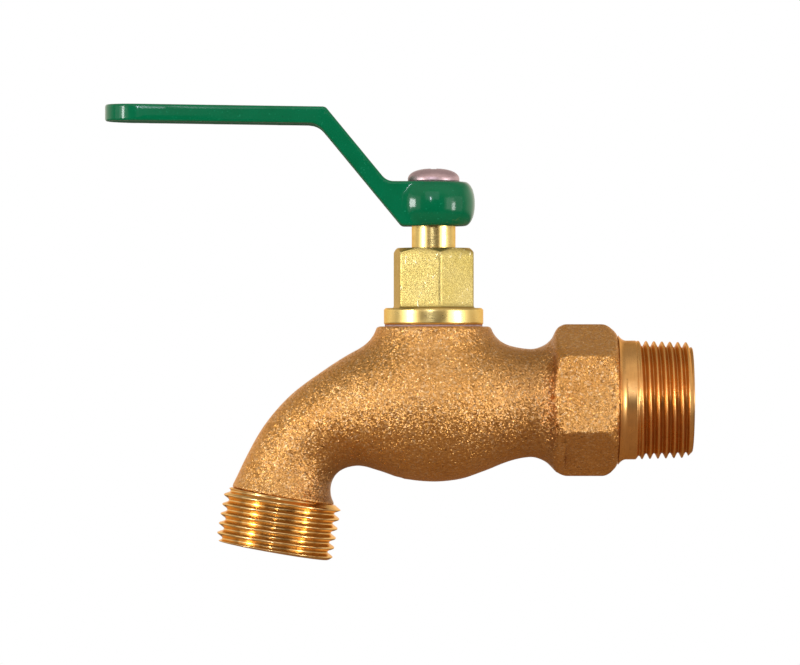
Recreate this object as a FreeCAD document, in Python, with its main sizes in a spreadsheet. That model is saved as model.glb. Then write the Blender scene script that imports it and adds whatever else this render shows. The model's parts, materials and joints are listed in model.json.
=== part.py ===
"""Quarter-turn hose bibb: a cast bronze globe body, a ceramic-disc cartridge and a cranked lever.

Millimetres. The origin is the centre of the inlet's end face, +X runs out of the inlet along the pipe,
+Z runs up along the stem, and the spout hangs over the -X end.
"""
import FreeCAD, Part
import math
import os
import re
import Sketcher

Vector = FreeCAD.Vector

# Driving dimensions. Lengths are in millimetres and angles in degrees.
SIZES = {
    # male pipe end: 3/4 inch taper thread, plain land behind it, then the wrench hexagon
    "pipe_radius": 13.335,
    "pipe_thread_length": 13.0,
    "pipe_taper_slope": 0.03125,
    "pipe_thread_pitch": 1.814,
    "pipe_thread_depth": 1.1,
    "pipe_end_chamfer": 1.3,
    "land_length": 3.9,
    "land_fillet_run": 1.8,
    "land_fillet_rise": 1.2,
    "inlet_bore_radius": 7.9,
    "inlet_hex_length": 14.6,
    "inlet_hex_across": 30.4,
    "inlet_hex_roll": 5.6,
    "inlet_hex_rounding": 1.7,
    "inlet_hex_bevel": 1.9,
    # casting: round sections along the flow, from the hexagon to the globe under the stem
    "stem_to_inlet_end": 59.0,
    "axis_drop": 1.0,
    "throat_radius": 14.7,
    "flare_run": 3.0,
    "flare_radius": 13.0,
    "neck_run": 6.6,
    "neck_radius": 12.3,
    "rise_run": 15.0,
    "rise_radius": 13.9,
    "shoulder_run": 8.5,
    "shoulder_radius": 16.2,
    "globe_radius": 17.45,
    # bend: round sections on rays from one centre, by angle from upright; a share is how much of the
    # way from the spout's radius to the crown's a section has
    "bend_back": 6.7,
    "bend_drop": 26.8,
    "crown_fall": 0.65,
    "hip_angle": 15.0,
    "hip_reach": 25.05,
    "hip_share": 0.76,
    "elbow_angle": 30.0,
    "elbow_reach": 25.5,
    "elbow_share": 0.445,
    "crotch_angle": 43.0,
    "crotch_reach": 27.2,
    "crotch_share": 0.168,
    "spout_angle": 57.0,
    "spout_reach": 28.3,
    "spout_radius": 9.95,
    "flute_angle": 70.0,
    "flute_radius": 10.4,
    "outlet_angle": 80.0,
    "outlet_reach": 28.0,
    "collar_radius": 12.0,
    # hose thread and the waterway behind it
    "hose_thread_radius": 13.45,
    "hose_thread_length": 12.6,
    "hose_thread_pitch": 2.209,
    "hose_thread_depth": 1.2,
    "hose_end_chamfer": 1.1,
    "outlet_bore_radius": 9.2,
    "outlet_bore_bevel": 0.8,
    "spout_way_radius": 6.9,
    "spout_way_start": 4.0,
    "spout_way_reach": 28.9,
    # top boss that carries the cartridge
    "boss_radius": 12.65,
    "boss_height": 16.8,
    "boss_edge": 0.5,
    "boss_waist_fall": 2.4,
    "boss_waist_radius": 13.2,
    "boss_foot_fall": 6.0,
    "boss_foot_radius": 14.2,
    # waterway: upper chamber round the cartridge, seat, lower chamber under it
    "upper_chamber_radius": 12.0,
    "upper_chamber_height": 14.2,
    "seat_drop": 4.5,
    "seat_hole_radius": 5.2,
    "seat_plate": 2.5,
    "lower_chamber_radius": 10.2,
    "lower_chamber_height": 8.6,
    "lower_chamber_side": 5.0,
    "lower_chamber_floor_radius": 6.4,
    "stem_to_bore_end": 18.5,
    "passage_run": 15.4,
    "passage_drop": 8.0,
    "passage_tilt": 30.0,
    "passage_length": 17.6,
    "passage_width": 12.0,
    "passage_height": 5.0,
    # cartridge housing
    "cartridge_thread_radius": 10.0,
    "thread_clearance": 0.03,
    "thread_relief_height": 1.2,
    "thread_relief_depth": 0.8,
    "flange_radius": 11.35,
    "flange_thickness": 3.8,
    "flange_edge": 0.25,
    "cartridge_hex_across": 17.0,
    "cartridge_hex_height": 13.7,
    "cartridge_hex_turn": 8.6,
    "cartridge_hex_crown": 0.9,
    "crown_flat_inset": 0.25,
    "barrel_radius": 9.0,
    "barrel_bore_radius": 8.0,
    "barrel_end_gap": 0.8,
    "window_width": 12.4,
    "window_margin": 0.2,
    "disc_slot_width": 3.2,
    "stop_lug_angle": 20.0,
    "stop_lug_inner_radius": 6.7,
    "stop_notch_gap": 0.3,
    "stop_play_angle": 0.5,
    "quarter_turn": 90.0,
    "ring_recess_depth": 2.2,
    "ring_recess_radius": 6.9,
    # cartridge inner pieces, listed upwards from the seat
    "gasket_thickness": 0.4,
    "gasket_inset": 0.2,
    "seal_height": 3.0,
    "seal_lip": 0.45,
    "seal_inner_radius": 6.05,
    "seal_fit": 0.05,
    "support_wall": 0.8,
    "fixed_disc_thickness": 3.6,
    "disc_radius": 7.85,
    "disc_lug_reach": 0.95,
    "disc_lug_width": 3.0,
    "lap_film": 0.02,
    "moving_disc_thickness": 3.0,
    "drive_slot_depth": 1.2,
    "port_inner_radius": 1.5,
    "port_outer_radius": 6.3,
    "port_angle": 82.0,
    "drive_gap": 4.6,
    "tongue_width": 4.0,
    "tongue_length": 13.0,
    "tongue_clearance": 0.06,
    "spindle_flange_radius": 7.75,
    "spindle_flange_thickness": 2.6,
    "running_play": 0.05,
    "slip_washer_thickness": 0.6,
    "slip_washer_radius": 6.5,
    # spindle
    "spindle_radius": 5.0,
    "spindle_clearance": 0.05,
    "stem_showing": 5.0,
    "square_across": 7.5,
    "square_clearance": 0.05,
    "square_top_gap": 1.0,
    "spindle_edge": 0.4,
    "o_ring_section": 1.5,
    "o_ring_slack": 0.02,
    "o_ring_groove_width": 2.0,
    "upper_o_ring_depth": 6.0,
    "lower_o_ring_depth": 10.6,
    "retaining_ring_thickness": 1.0,
    "retaining_ring_bite": 0.7,
    "retaining_ring_width": 2.1,
    "retaining_ring_mouth": 70.0,
    "tapped_hole_depth": 12.0,
    # lever
    "lever_boss_height": 10.1,
    "lever_boss_radius": 9.4,
    "lever_boss_face_radius": 7.1,
    "lever_boss_bevel": 1.9,
    "lever_boss_edge": 0.65,
    "arm_width": 15.7,
    "arm_thickness": 4.0,
    "arm_reach": 75.0,
    "arm_bend_reach": 24.6,
    "arm_crank_height": 17.1,
    "arm_slope": 50.5,
    "arm_rise": 0.6,
    "arm_tip_rounding": 7.7,
    "arm_root_rounding": 6.8,
    "bend_outer_radius": 1.4,
    "bend_inner_radius": 3.0,
    "arm_foot_radius": 3.0,
    # screw that holds the lever
    "screw_radius": 2.5,
    "screw_length": 10.0,
    "screw_head_radius": 5.9,
    "screw_head_height": 3.05,
    "screw_head_rim": 0.45,
    "screw_dome_step": 33.0,
    "recess_length": 5.4,
    "recess_width": 1.3,
    "recess_depth": 1.6,
    # how far a cutting shape runs past the face that it opens
    "lap": 1.0,
}

# Levels and places that follow from the driving dimensions.
DERIVED = {
    "hex_face": "-(pipe_thread_length + land_length)",
    "hex_end": "hex_face - inlet_hex_length",
    "hex_corner": "inlet_hex_across / sqrt(3)",
    "stem_place": "-stem_to_inlet_end",
    "inlet_bore_length": "stem_to_inlet_end - stem_to_bore_end",
    "bend_place": "stem_place - bend_back",
    "crown_radius": "globe_radius - crown_fall",
    "hip_radius": "spout_radius + hip_share * (crown_radius - spout_radius)",
    "elbow_radius": "spout_radius + elbow_share * (crown_radius - spout_radius)",
    "crotch_radius": "spout_radius + crotch_share * (crown_radius - spout_radius)",
    "seat_level": "-seat_drop",
    "seal_top": "seat_level + seal_height",
    "fixed_disc_top": "seal_top + fixed_disc_thickness",
    "moving_disc_base": "fixed_disc_top + lap_film",
    "moving_disc_top": "moving_disc_base + moving_disc_thickness",
    "spindle_flange_base": "moving_disc_top + drive_gap",
    "spindle_flange_top": "spindle_flange_base + spindle_flange_thickness",
    "slip_washer_base": "spindle_flange_top + running_play",
    "housing_shoulder": "slip_washer_base + slip_washer_thickness",
    "chamber_top": "seat_level + upper_chamber_height",
    "housing_base": "seat_level + barrel_end_gap",
    "flange_base": "boss_height + gasket_thickness",
    "flange_top": "flange_base + flange_thickness",
    "hex_top": "flange_top + cartridge_hex_height",
    "recess_floor": "hex_top - ring_recess_depth",
    "ring_base": "recess_floor + running_play",
    "lever_base": "hex_top + stem_showing",
    "lever_top": "lever_base + lever_boss_height",
    "spindle_top": "lever_top - square_top_gap",
    "arm_top": "lever_top + arm_crank_height",
    "male_thread_radius": "cartridge_thread_radius - thread_clearance",
    "stem_bore_radius": "spindle_radius + spindle_clearance",
    "o_ring_groove_radius": "stem_bore_radius - o_ring_section",
    "ring_groove_radius": "spindle_radius - retaining_ring_bite",
    "tapped_radius": "screw_radius + thread_clearance",
}

# How near a vertex lies to a corner to count as on it.
NEAR = 0.01

doc = FreeCAD.newDocument("hose_bibb")
sheet = doc.addObject("Spreadsheet::Sheet", "sizes")


def fill_sheet():
    for row, (name, number) in enumerate(SIZES.items(), start=1):
        sheet.set(f"A{row}", name)
        sheet.set(f"B{row}", str(number))
        sheet.setAlias(f"B{row}", name)
    doc.recompute()


def formula(text):
    """Spells a formula over size names as one over the sheet's cells."""

    def spell(match):
        word = match.group(0)
        if word in DERIVED:
            return f"({formula(DERIVED[word])})"
        return f"sizes.{word}" if word in SIZES else word

    return re.sub(r"[a-z][a-z0-9_]*", spell, text)


def value(text):
    return sheet.evalExpression(formula(text))


def bind(item, **formulas):
    """Ties properties to the sheet; a double underscore in a keyword stands for the dot in a path."""
    for path, text in formulas.items():
        item.setExpression(path.replace("__", "."), formula(text))
    return item


def add_part(kind, name, **formulas):
    return bind(doc.addObject(kind, name), **formulas)


# Sketches


def arc_geometry(start, end, radius, side):
    """Arc from start to end that turns to one side, stored counter-clockwise."""
    chord = end - start
    rise = math.sqrt(max(radius**2 - (chord.Length / 2) ** 2, 0))
    leftward = Vector(-chord.y, chord.x, 0).normalize()
    turn = 1 if side == "left" else -1
    centre = (start + end) / 2 + leftward * rise * turn
    first, last = (start, end) if side == "left" else (end, start)
    angles = [math.atan2(point.y - centre.y, point.x - centre.x) for point in (first, last)]
    return Part.ArcOfCircle(Part.Circle(centre, Vector(0, 0, 1), radius), *angles)


def pin_point(sketch, edge, end, across, up):
    """Fixes one end of an edge at two formulas; a plain zero puts it on the axis."""
    for text, axis, kind in ((across, -2, "DistanceX"), (up, -1, "DistanceY")):
        if text == "0":
            sketch.addConstraint(Sketcher.Constraint("PointOnObject", edge, end, axis))
        else:
            rule = sketch.addConstraint(Sketcher.Constraint(kind, -1, 1, edge, end, value(text)))
            sketch.setExpression(f"Constraints[{rule}]", formula(text))


def draw_profile(sketch, corners):
    """Closed outline. A corner is (across, up), or (across, up, radius, side) where an arc leaves it."""
    points = [Vector(value(corner[0]), value(corner[1]), 0) for corner in corners]
    ends = []
    for index, corner in enumerate(corners):
        start, end = points[index], points[(index + 1) % len(points)]
        if len(corner) == 2:
            edge = sketch.addGeometry(Part.LineSegment(start, end), False)
            ends.append((edge, 1, 2))
        else:
            edge = sketch.addGeometry(arc_geometry(start, end, value(corner[2]), corner[3]), False)
            ends.append((edge, 1, 2) if corner[3] == "left" else (edge, 2, 1))
            rule = sketch.addConstraint(Sketcher.Constraint("Radius", edge, value(corner[2])))
            sketch.setExpression(f"Constraints[{rule}]", formula(corner[2]))
    for index, corner in enumerate(corners):
        edge, begin, _ = ends[index]
        before, _, finish = ends[index - 1]
        sketch.addConstraint(Sketcher.Constraint("Coincident", before, finish, edge, begin))
        pin_point(sketch, edge, begin, corner[0], corner[1])
    return sketch


def draw_circle(sketch, radius):
    circle = Part.Circle(Vector(0, 0, 0), Vector(0, 0, 1), value(radius))
    edge = sketch.addGeometry(circle, False)
    sketch.addConstraint(Sketcher.Constraint("Coincident", edge, 3, -1, 1))
    rule = sketch.addConstraint(Sketcher.Constraint("Radius", edge, value(radius)))
    sketch.setExpression(f"Constraints[{rule}]", formula(radius))
    return sketch


def rectangle(left, right, low, high):
    return [(left, low), (right, low), (right, high), (left, high)]


def on_circle(radius, angle):
    return f"({radius}) * cos({angle})", f"({radius}) * sin({angle})"


def ring_sector(inner, outer, start_angle, end_angle):
    """Piece of a ring, narrower than half a turn."""
    return [
        on_circle(inner, start_angle),
        (*on_circle(outer, start_angle), outer, "left"),
        on_circle(outer, end_angle),
        (*on_circle(inner, end_angle), inner, "right"),
    ]


def hexagon(across, turn):
    corner = f"({across}) / sqrt(3)"
    return [on_circle(corner, f"{turn} + {60 * step}") for step in range(6)]


# Bodies and their features


def new_body(name):
    body = doc.addObject("PartDesign::Body", name)
    body.Label = name
    return body


def plane_sketch(body, name, role, level="0"):
    """Sketch on one of the body's own origin planes, or at a height over it."""
    sketch = body.newObject("Sketcher::SketchObject", name)
    plane = next(item for item in body.Origin.OriginFeatures if item.Role == role)
    sketch.AttachmentSupport = (plane, [""])
    sketch.MapMode = "FlatFace"
    return bind(sketch, AttachmentOffset__Base__z=level)


def revolved(body, name, corners, kind="PartDesign::Revolution"):
    """Turned shape about the body's Z axis, added, or cut away as a groove."""
    sketch = draw_profile(plane_sketch(body, f"{name}_profile", "XZ_Plane"), corners)
    feature = body.newObject(kind, name)
    feature.Profile = sketch
    feature.ReferenceAxis = (sketch, ["V_Axis"])
    feature.Angle = 360
    return feature


def padded(body, name, sketch, length, middle=False):
    feature = body.newObject("PartDesign::Pad", name)
    feature.Profile = sketch
    if middle:
        feature.Midplane = True
    return bind(feature, Length=length)


def pocketed(body, name, sketch, depth=None):
    """Cut under its sketch to a depth, or right through both ways."""
    feature = body.newObject("PartDesign::Pocket", name)
    feature.Profile = sketch
    if depth is None:
        feature.Type = "ThroughAll"
        feature.Midplane = True
        return feature
    return bind(feature, Length=depth)


def half_turn_copy(body, name, feature):
    """Second copy of a feature, opposite the first about the stem axis."""
    doc.recompute()
    pattern = body.newObject("PartDesign::PolarPattern", name)
    pattern.Originals = [feature]
    pattern.Axis = (feature.Profile[0], ["N_Axis"])
    pattern.Angle = 360
    pattern.Occurrences = 2
    body.Tip = pattern
    return pattern


def edges_where(shape, test):
    return [f"Edge{number}" for number, edge in enumerate(shape.Edges, start=1) if test(edge)]


def dressed(body, kind, name, test, size):
    """Fillet or chamfer of the body's edges that pass the test."""
    doc.recompute()
    base = body.Tip
    feature = body.newObject(kind, name)
    feature.Base = (base, edges_where(base.Shape, test))
    return bind(feature, **{"Radius" if kind.endswith("Fillet") else "Size": size})


def at_stem(item):
    """Stands a piece on the stem axis."""
    return bind(item, Placement__Base__x="stem_place")


# Valve body: one bronze casting, machined at the inlet, the boss and the hose thread


def flow_circle(name, across, up, radius, tilt="0"):
    """Round section square to the flow, which runs towards -X and dips by the tilt."""
    circle = doc.addObject("Part::Circle", name)
    circle.Placement = FreeCAD.Placement(Vector(), FreeCAD.Rotation(Vector(0, -1, 0), 90))
    return bind(
        circle,
        Radius=radius,
        Placement__Base__x=across,
        Placement__Base__z=up,
        Placement__Rotation__Angle=f"90 + {tilt}",
    )


def bend_circle(name, angle, reach, radius):
    """Round section on a ray from the bend centre, turned by its angle from upright."""
    across = f"bend_place - ({reach}) * sin({angle})"
    up = f"({reach}) * cos({angle}) - bend_drop"
    return flow_circle(name, across, up, radius, angle)


def turned(name, corners, axis):
    """Solid of revolution of a profile in the XZ plane."""
    sketch = doc.addObject("Sketcher::SketchObject", f"{name}_profile")
    sketch.Placement = FreeCAD.Placement(Vector(), FreeCAD.Rotation(Vector(1, 0, 0), 90))
    draw_profile(sketch, corners)
    solid = doc.addObject("Part::Revolution", name)
    solid.Source = sketch
    solid.Axis = Vector(*axis)
    solid.Angle = 360
    solid.Solid = True
    return solid


def casting_barrel():
    """Bell behind the hexagon, neck and globe, round about one axis a little under the pipe's."""
    barrel = turned(
        "casting_barrel",
        [
            ("bend_place", "0"),
            ("hex_end", "0"),
            ("hex_end", "throat_radius"),
            ("hex_end - flare_run", "flare_radius"),
            ("hex_end - neck_run", "neck_radius"),
            ("stem_place + rise_run", "rise_radius"),
            ("stem_place + shoulder_run", "shoulder_radius"),
            ("stem_place", "globe_radius"),
            ("bend_place", "crown_radius"),
        ],
        (1, 0, 0),
    )
    return bind(barrel, Placement__Base__z="-axis_drop")


def casting_bend():
    """Elbow that narrows from the globe into the spout and flares into its collar."""
    sections = [
        bend_circle("crown", "0", "bend_drop - axis_drop", "crown_radius"),
        bend_circle("hip", "hip_angle", "hip_reach", "hip_radius"),
        bend_circle("elbow", "elbow_angle", "elbow_reach", "elbow_radius"),
        bend_circle("crotch", "crotch_angle", "crotch_reach", "crotch_radius"),
        bend_circle("spout", "spout_angle", "spout_reach", "spout_radius"),
        bend_circle("flute", "flute_angle", "spout_reach", "flute_radius"),
        bend_circle("collar", "outlet_angle", "outlet_reach", "collar_radius"),
    ]
    loft = doc.addObject("Part::Loft", "casting_bend")
    loft.Sections = sections
    loft.Solid = True
    loft.Ruled = False
    return loft


def boss_skin():
    """Round boss that flares into the globe."""
    boss = turned(
        "boss_skin",
        [
            ("0", "0"),
            ("boss_foot_radius", "0"),
            ("boss_foot_radius", "boss_height - boss_foot_fall"),
            ("boss_waist_radius", "boss_height - boss_waist_fall"),
            ("boss_radius", "boss_height - boss_waist_fall / 2"),
            ("boss_radius", "boss_height - boss_edge"),
            ("boss_radius - boss_edge", "boss_height"),
            ("0", "boss_height"),
        ],
        (0, 0, 1),
    )
    return at_stem(boss)


def inlet_hexagon():
    """Wrench hexagon, rolled a little about the pipe axis, with turned-down corners."""
    prism = add_part("Part::Prism", "hex_prism", Circumradius="hex_corner", Height="inlet_hex_length")
    prism.Polygon = 6
    prism.Placement = FreeCAD.Placement(Vector(), FreeCAD.Rotation(Vector(0, -1, 0), 90))
    bind(prism, Placement__Base__x="hex_face")
    rolled = doc.addObject("Part::Compound", "hex_rolled")
    rolled.Links = [prism]
    rolled.Placement = FreeCAD.Placement(Vector(), FreeCAD.Rotation(Vector(1, 0, 0), 0))
    bind(rolled, Placement__Rotation__Angle="inlet_hex_roll")
    blank = turned(
        "hex_blank",
        [
            ("hex_end", "0"),
            ("hex_face", "0"),
            ("hex_face", "hex_corner - inlet_hex_bevel"),
            ("hex_face - inlet_hex_bevel", "hex_corner"),
            ("hex_end + inlet_hex_rounding", "hex_corner"),
            ("hex_end", "hex_corner - inlet_hex_rounding"),
        ],
        (1, 0, 0),
    )
    common = doc.addObject("Part::Common", "inlet_hexagon")
    common.Base = rolled
    common.Tool = blank
    return common


def thread_section(turns, first_crest, radius, pitch, depth, slope="0"):
    """Crests and roots in turn, from the crest at the chamfer back: place along the axis, and radius."""
    corners = []
    for half_turn in range(2 * turns + 1):
        back = f"{half_turn} * {pitch} / 2"
        cut = depth if half_turn % 2 else "0"
        corners.append((f"{first_crest} - {back}", f"{radius} + {back} * {slope} - {cut}"))
    return corners


def inlet_thread():
    """Taper thread, drawn as rings, and the land behind it, eased up to the hexagon in two steps."""
    end_radius = "(pipe_radius - (pipe_thread_length - pipe_end_chamfer) * pipe_taper_slope)"
    turns = int(value("(pipe_thread_length - pipe_end_chamfer) / pipe_thread_pitch"))
    teeth = thread_section(
        turns, "-pipe_end_chamfer", end_radius, "pipe_thread_pitch", "pipe_thread_depth", "pipe_taper_slope"
    )
    return turned(
        "inlet_thread",
        [
            ("hex_face - land_fillet_rise", "0"),
            ("0", "0"),
            ("0", f"{end_radius} - pipe_end_chamfer"),
            *teeth,
            ("-pipe_thread_length", "pipe_radius"),
            ("hex_face + land_fillet_run", "pipe_radius"),
            ("hex_face + land_fillet_run / 3", "pipe_radius + land_fillet_rise / 3"),
            ("hex_face", "pipe_radius + land_fillet_rise"),
            ("hex_face - land_fillet_rise", "pipe_radius + land_fillet_rise"),
        ],
        (1, 0, 0),
    )


def point_along_outlet(item):
    """Stands a piece on the collar, its own Z running out of the spout."""
    item.Placement = FreeCAD.Placement(Vector(), FreeCAD.Rotation(Vector(0, -1, 0), 90))
    return bind(
        item,
        Placement__Base__x="bend_place - outlet_reach * sin(outlet_angle)",
        Placement__Base__z="outlet_reach * cos(outlet_angle) - bend_drop",
        Placement__Rotation__Angle="90 + outlet_angle",
    )


def hose_thread():
    """Coarse straight thread, drawn as rings, from the collar to the chamfer at the mouth."""
    turns = int(value("(hose_thread_length - hose_end_chamfer) / hose_thread_pitch"))
    first_crest = "hose_thread_length - hose_end_chamfer"
    teeth = thread_section(
        turns, first_crest, "hose_thread_radius", "hose_thread_pitch", "hose_thread_depth"
    )
    thread = turned(
        "hose_thread",
        [
            ("0", "0"),
            ("collar_radius", "0"),
            *[(radius, along) for along, radius in reversed(teeth)],
            ("hose_thread_radius - hose_end_chamfer", "hose_thread_length"),
            ("0", "hose_thread_length"),
        ],
        (0, 0, 1),
    )
    return point_along_outlet(thread)


def cartridge_cavity():
    """Facing cut over the boss, its threaded bore, upper chamber, flat seat and the hole through it."""
    cavity = turned(
        "cartridge_cavity",
        [
            ("0", "seat_level - seat_plate - lap"),
            ("seat_hole_radius", "seat_level - seat_plate - lap"),
            ("seat_hole_radius", "seat_level"),
            ("upper_chamber_radius", "seat_level"),
            ("upper_chamber_radius", "chamber_top"),
            ("cartridge_thread_radius", "chamber_top"),
            ("cartridge_thread_radius", "boss_height"),
            ("boss_foot_radius + lap", "boss_height"),
            ("boss_foot_radius + lap", "boss_height + globe_radius"),
            ("0", "boss_height + globe_radius"),
        ],
        (0, 0, 1),
    )
    return at_stem(cavity)


def inlet_waterway():
    """Bore, sloping passage under the chamber wall, and the lower chamber that feeds the seat."""
    bore = add_part("Part::Cylinder", "inlet_bore", Radius="inlet_bore_radius")
    bore.Placement = FreeCAD.Placement(Vector(), FreeCAD.Rotation(Vector(0, -1, 0), 90))
    bind(bore, Height="inlet_bore_length + lap", Placement__Base__x="lap")
    passage = add_part("Part::Box", "sloping_passage", Length="passage_length", Width="passage_width")
    passage.Placement = FreeCAD.Placement(Vector(), FreeCAD.Rotation(Vector(0, -1, 0), 90))
    bind(
        passage,
        Height="passage_height",
        Placement__Base__x="stem_place + passage_run"
        " - passage_length / 2 * cos(passage_tilt) + passage_height / 2 * sin(passage_tilt)",
        Placement__Base__y="-passage_width / 2",
        Placement__Base__z="-passage_drop"
        " - passage_length / 2 * sin(passage_tilt) - passage_height / 2 * cos(passage_tilt)",
        Placement__Rotation__Angle="passage_tilt",
    )
    ceiling = "(seat_level - seat_plate)"
    floor = f"({ceiling} - lower_chamber_height)"
    chamber = turned(
        "lower_chamber",
        [
            ("0", floor),
            ("lower_chamber_floor_radius", floor),
            ("lower_chamber_radius", f"{ceiling} - lower_chamber_side"),
            ("lower_chamber_radius", ceiling),
            ("0", ceiling),
        ],
        (0, 0, 1),
    )
    return [bore, passage, at_stem(chamber)]


def spout_core(name, start, end):
    """Straight length of the core, between two rays of the bend, with a lap at both ends."""
    core = add_part("Part::Cylinder", name, Radius="spout_way_radius")
    core.Placement = FreeCAD.Placement(Vector(), FreeCAD.Rotation(Vector(0, -1, 0), 90))
    middle = f"(({start}) + ({end})) / 2"
    return bind(
        core,
        Height=f"2 * spout_way_reach * sin((({end}) - ({start})) / 2) + 2 * lap",
        Placement__Base__x=f"bend_place - spout_way_reach * sin({start}) + lap * cos({middle})",
        Placement__Base__z=f"spout_way_reach * cos({start}) - bend_drop + lap * sin({middle})",
        Placement__Rotation__Angle=f"90 + {middle}",
    )


def spout_waterway():
    """Passage from the upper chamber round the outside of the bend, in short straight lengths."""
    rays = ["spout_way_start", "elbow_angle", "spout_angle", "outlet_angle"]
    cores = [spout_core(f"spout_core_at_{start}", start, end) for start, end in zip(rays, rays[1:])]
    mouth = turned(
        "outlet_bore",
        [
            ("0", "0"),
            ("outlet_bore_radius", "0"),
            ("outlet_bore_radius", "hose_thread_length - outlet_bore_bevel"),
            ("outlet_bore_radius + outlet_bore_bevel", "hose_thread_length"),
            ("outlet_bore_radius + outlet_bore_bevel", "hose_thread_length + lap"),
            ("0", "hose_thread_length + lap"),
        ],
        (0, 0, 1),
    )
    return [*cores, point_along_outlet(mouth)]


def valve_body():
    metal = doc.addObject("Part::MultiFuse", "valve_body_metal")
    ends = [inlet_hexagon(), inlet_thread(), hose_thread()]
    metal.Shapes = [casting_barrel(), casting_bend(), boss_skin(), *ends]
    hollow = doc.addObject("Part::MultiFuse", "valve_body_hollow")
    hollow.Shapes = [cartridge_cavity(), *inlet_waterway(), *spout_waterway()]
    body = doc.addObject("Part::Cut", "valve_body")
    body.Base = metal
    body.Tool = hollow
    return body


# Cartridge


def flange_gasket():
    """Flat fibre ring between the boss and the cartridge's flange."""
    body = new_body("flange_gasket")
    sketch = plane_sketch(body, "gasket_outline", "XY_Plane", "boss_height")
    draw_circle(sketch, "flange_radius - gasket_inset")
    draw_circle(sketch, "cartridge_thread_radius + boss_edge")
    padded(body, "gasket_pad", sketch, "gasket_thickness")
    return at_stem(body)


def cartridge_housing():
    """Hexagon, flange, thread and windowed barrel, turned from one bar."""
    body = new_body("cartridge_housing")
    relief_radius = "male_thread_radius - thread_relief_depth"
    core_radius = "cartridge_hex_across / 2 - flange_edge"
    thread_end = "chamber_top"
    revolved(
        body,
        "turned_outside",
        [
            ("0", "housing_base"),
            ("barrel_radius", "housing_base"),
            ("barrel_radius", f"{thread_end} - thread_relief_depth"),
            ("male_thread_radius", thread_end),
            ("male_thread_radius", "flange_base - thread_relief_height"),
            (relief_radius, "flange_base - thread_relief_height"),
            (relief_radius, "flange_base"),
            ("flange_radius", "flange_base"),
            ("flange_radius", "flange_top - flange_edge"),
            ("flange_radius - flange_edge", "flange_top"),
            (core_radius, "flange_top"),
            (core_radius, "hex_top"),
            ("0", "hex_top"),
        ],
    )
    hex_sketch = plane_sketch(body, "hex_outline", "XY_Plane", "flange_top")
    draw_profile(hex_sketch, hexagon("cartridge_hex_across", "cartridge_hex_turn - 90"))
    padded(body, "hex_pad", hex_sketch, "cartridge_hex_height")
    corner = "cartridge_hex_across / sqrt(3)"
    revolved(
        body,
        "hex_crown",
        [
            ("cartridge_hex_across / 2 - crown_flat_inset", "hex_top"),
            (f"{corner} + flange_edge", "hex_top - cartridge_hex_crown"),
            (f"{corner} + flange_edge", "hex_top + flange_edge"),
            ("cartridge_hex_across / 2 - crown_flat_inset", "hex_top + flange_edge"),
        ],
        "PartDesign::Groove",
    )
    revolved(
        body,
        "bores",
        [
            ("0", "housing_base - flange_edge"),
            ("barrel_bore_radius", "housing_base - flange_edge"),
            ("barrel_bore_radius", "housing_shoulder"),
            ("stem_bore_radius", "housing_shoulder"),
            ("stem_bore_radius", "recess_floor"),
            ("ring_recess_radius", "recess_floor"),
            ("ring_recess_radius", "hex_top + flange_edge"),
            ("0", "hex_top + flange_edge"),
        ],
        "PartDesign::Groove",
    )
    window_low = "moving_disc_top + window_margin"
    window_high = "spindle_flange_base - window_margin"
    window = plane_sketch(body, "window_outline", "XZ_Plane")
    draw_profile(window, rectangle("-window_width / 2", "window_width / 2", window_low, window_high))
    pocketed(body, "windows", window)
    slot = plane_sketch(body, "disc_slot_outline", "YZ_Plane")
    half = "disc_slot_width / 2"
    slot_high = "fixed_disc_top + running_play"
    draw_profile(slot, rectangle(f"-{half}", half, "housing_base - flange_edge", slot_high))
    pocketed(body, "disc_slots", slot)
    lug = plane_sketch(body, "stop_lug_outline", "XY_Plane", "spindle_flange_base + running_play")
    wall_middle = "(barrel_bore_radius + barrel_radius) / 2"
    half_lug = "stop_lug_angle / 2"
    draw_profile(lug, ring_sector("stop_lug_inner_radius", wall_middle, f"-{half_lug}", half_lug))
    padded(body, "stop_lug", lug, "housing_shoulder - spindle_flange_base")
    return at_stem(body)


def slip_washer():
    body = new_body("slip_washer")
    sketch = plane_sketch(body, "washer_outline", "XY_Plane", "slip_washer_base")
    draw_circle(sketch, "slip_washer_radius")
    draw_circle(sketch, "stem_bore_radius")
    padded(body, "washer_pad", sketch, "slip_washer_thickness")
    return at_stem(body)


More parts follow.
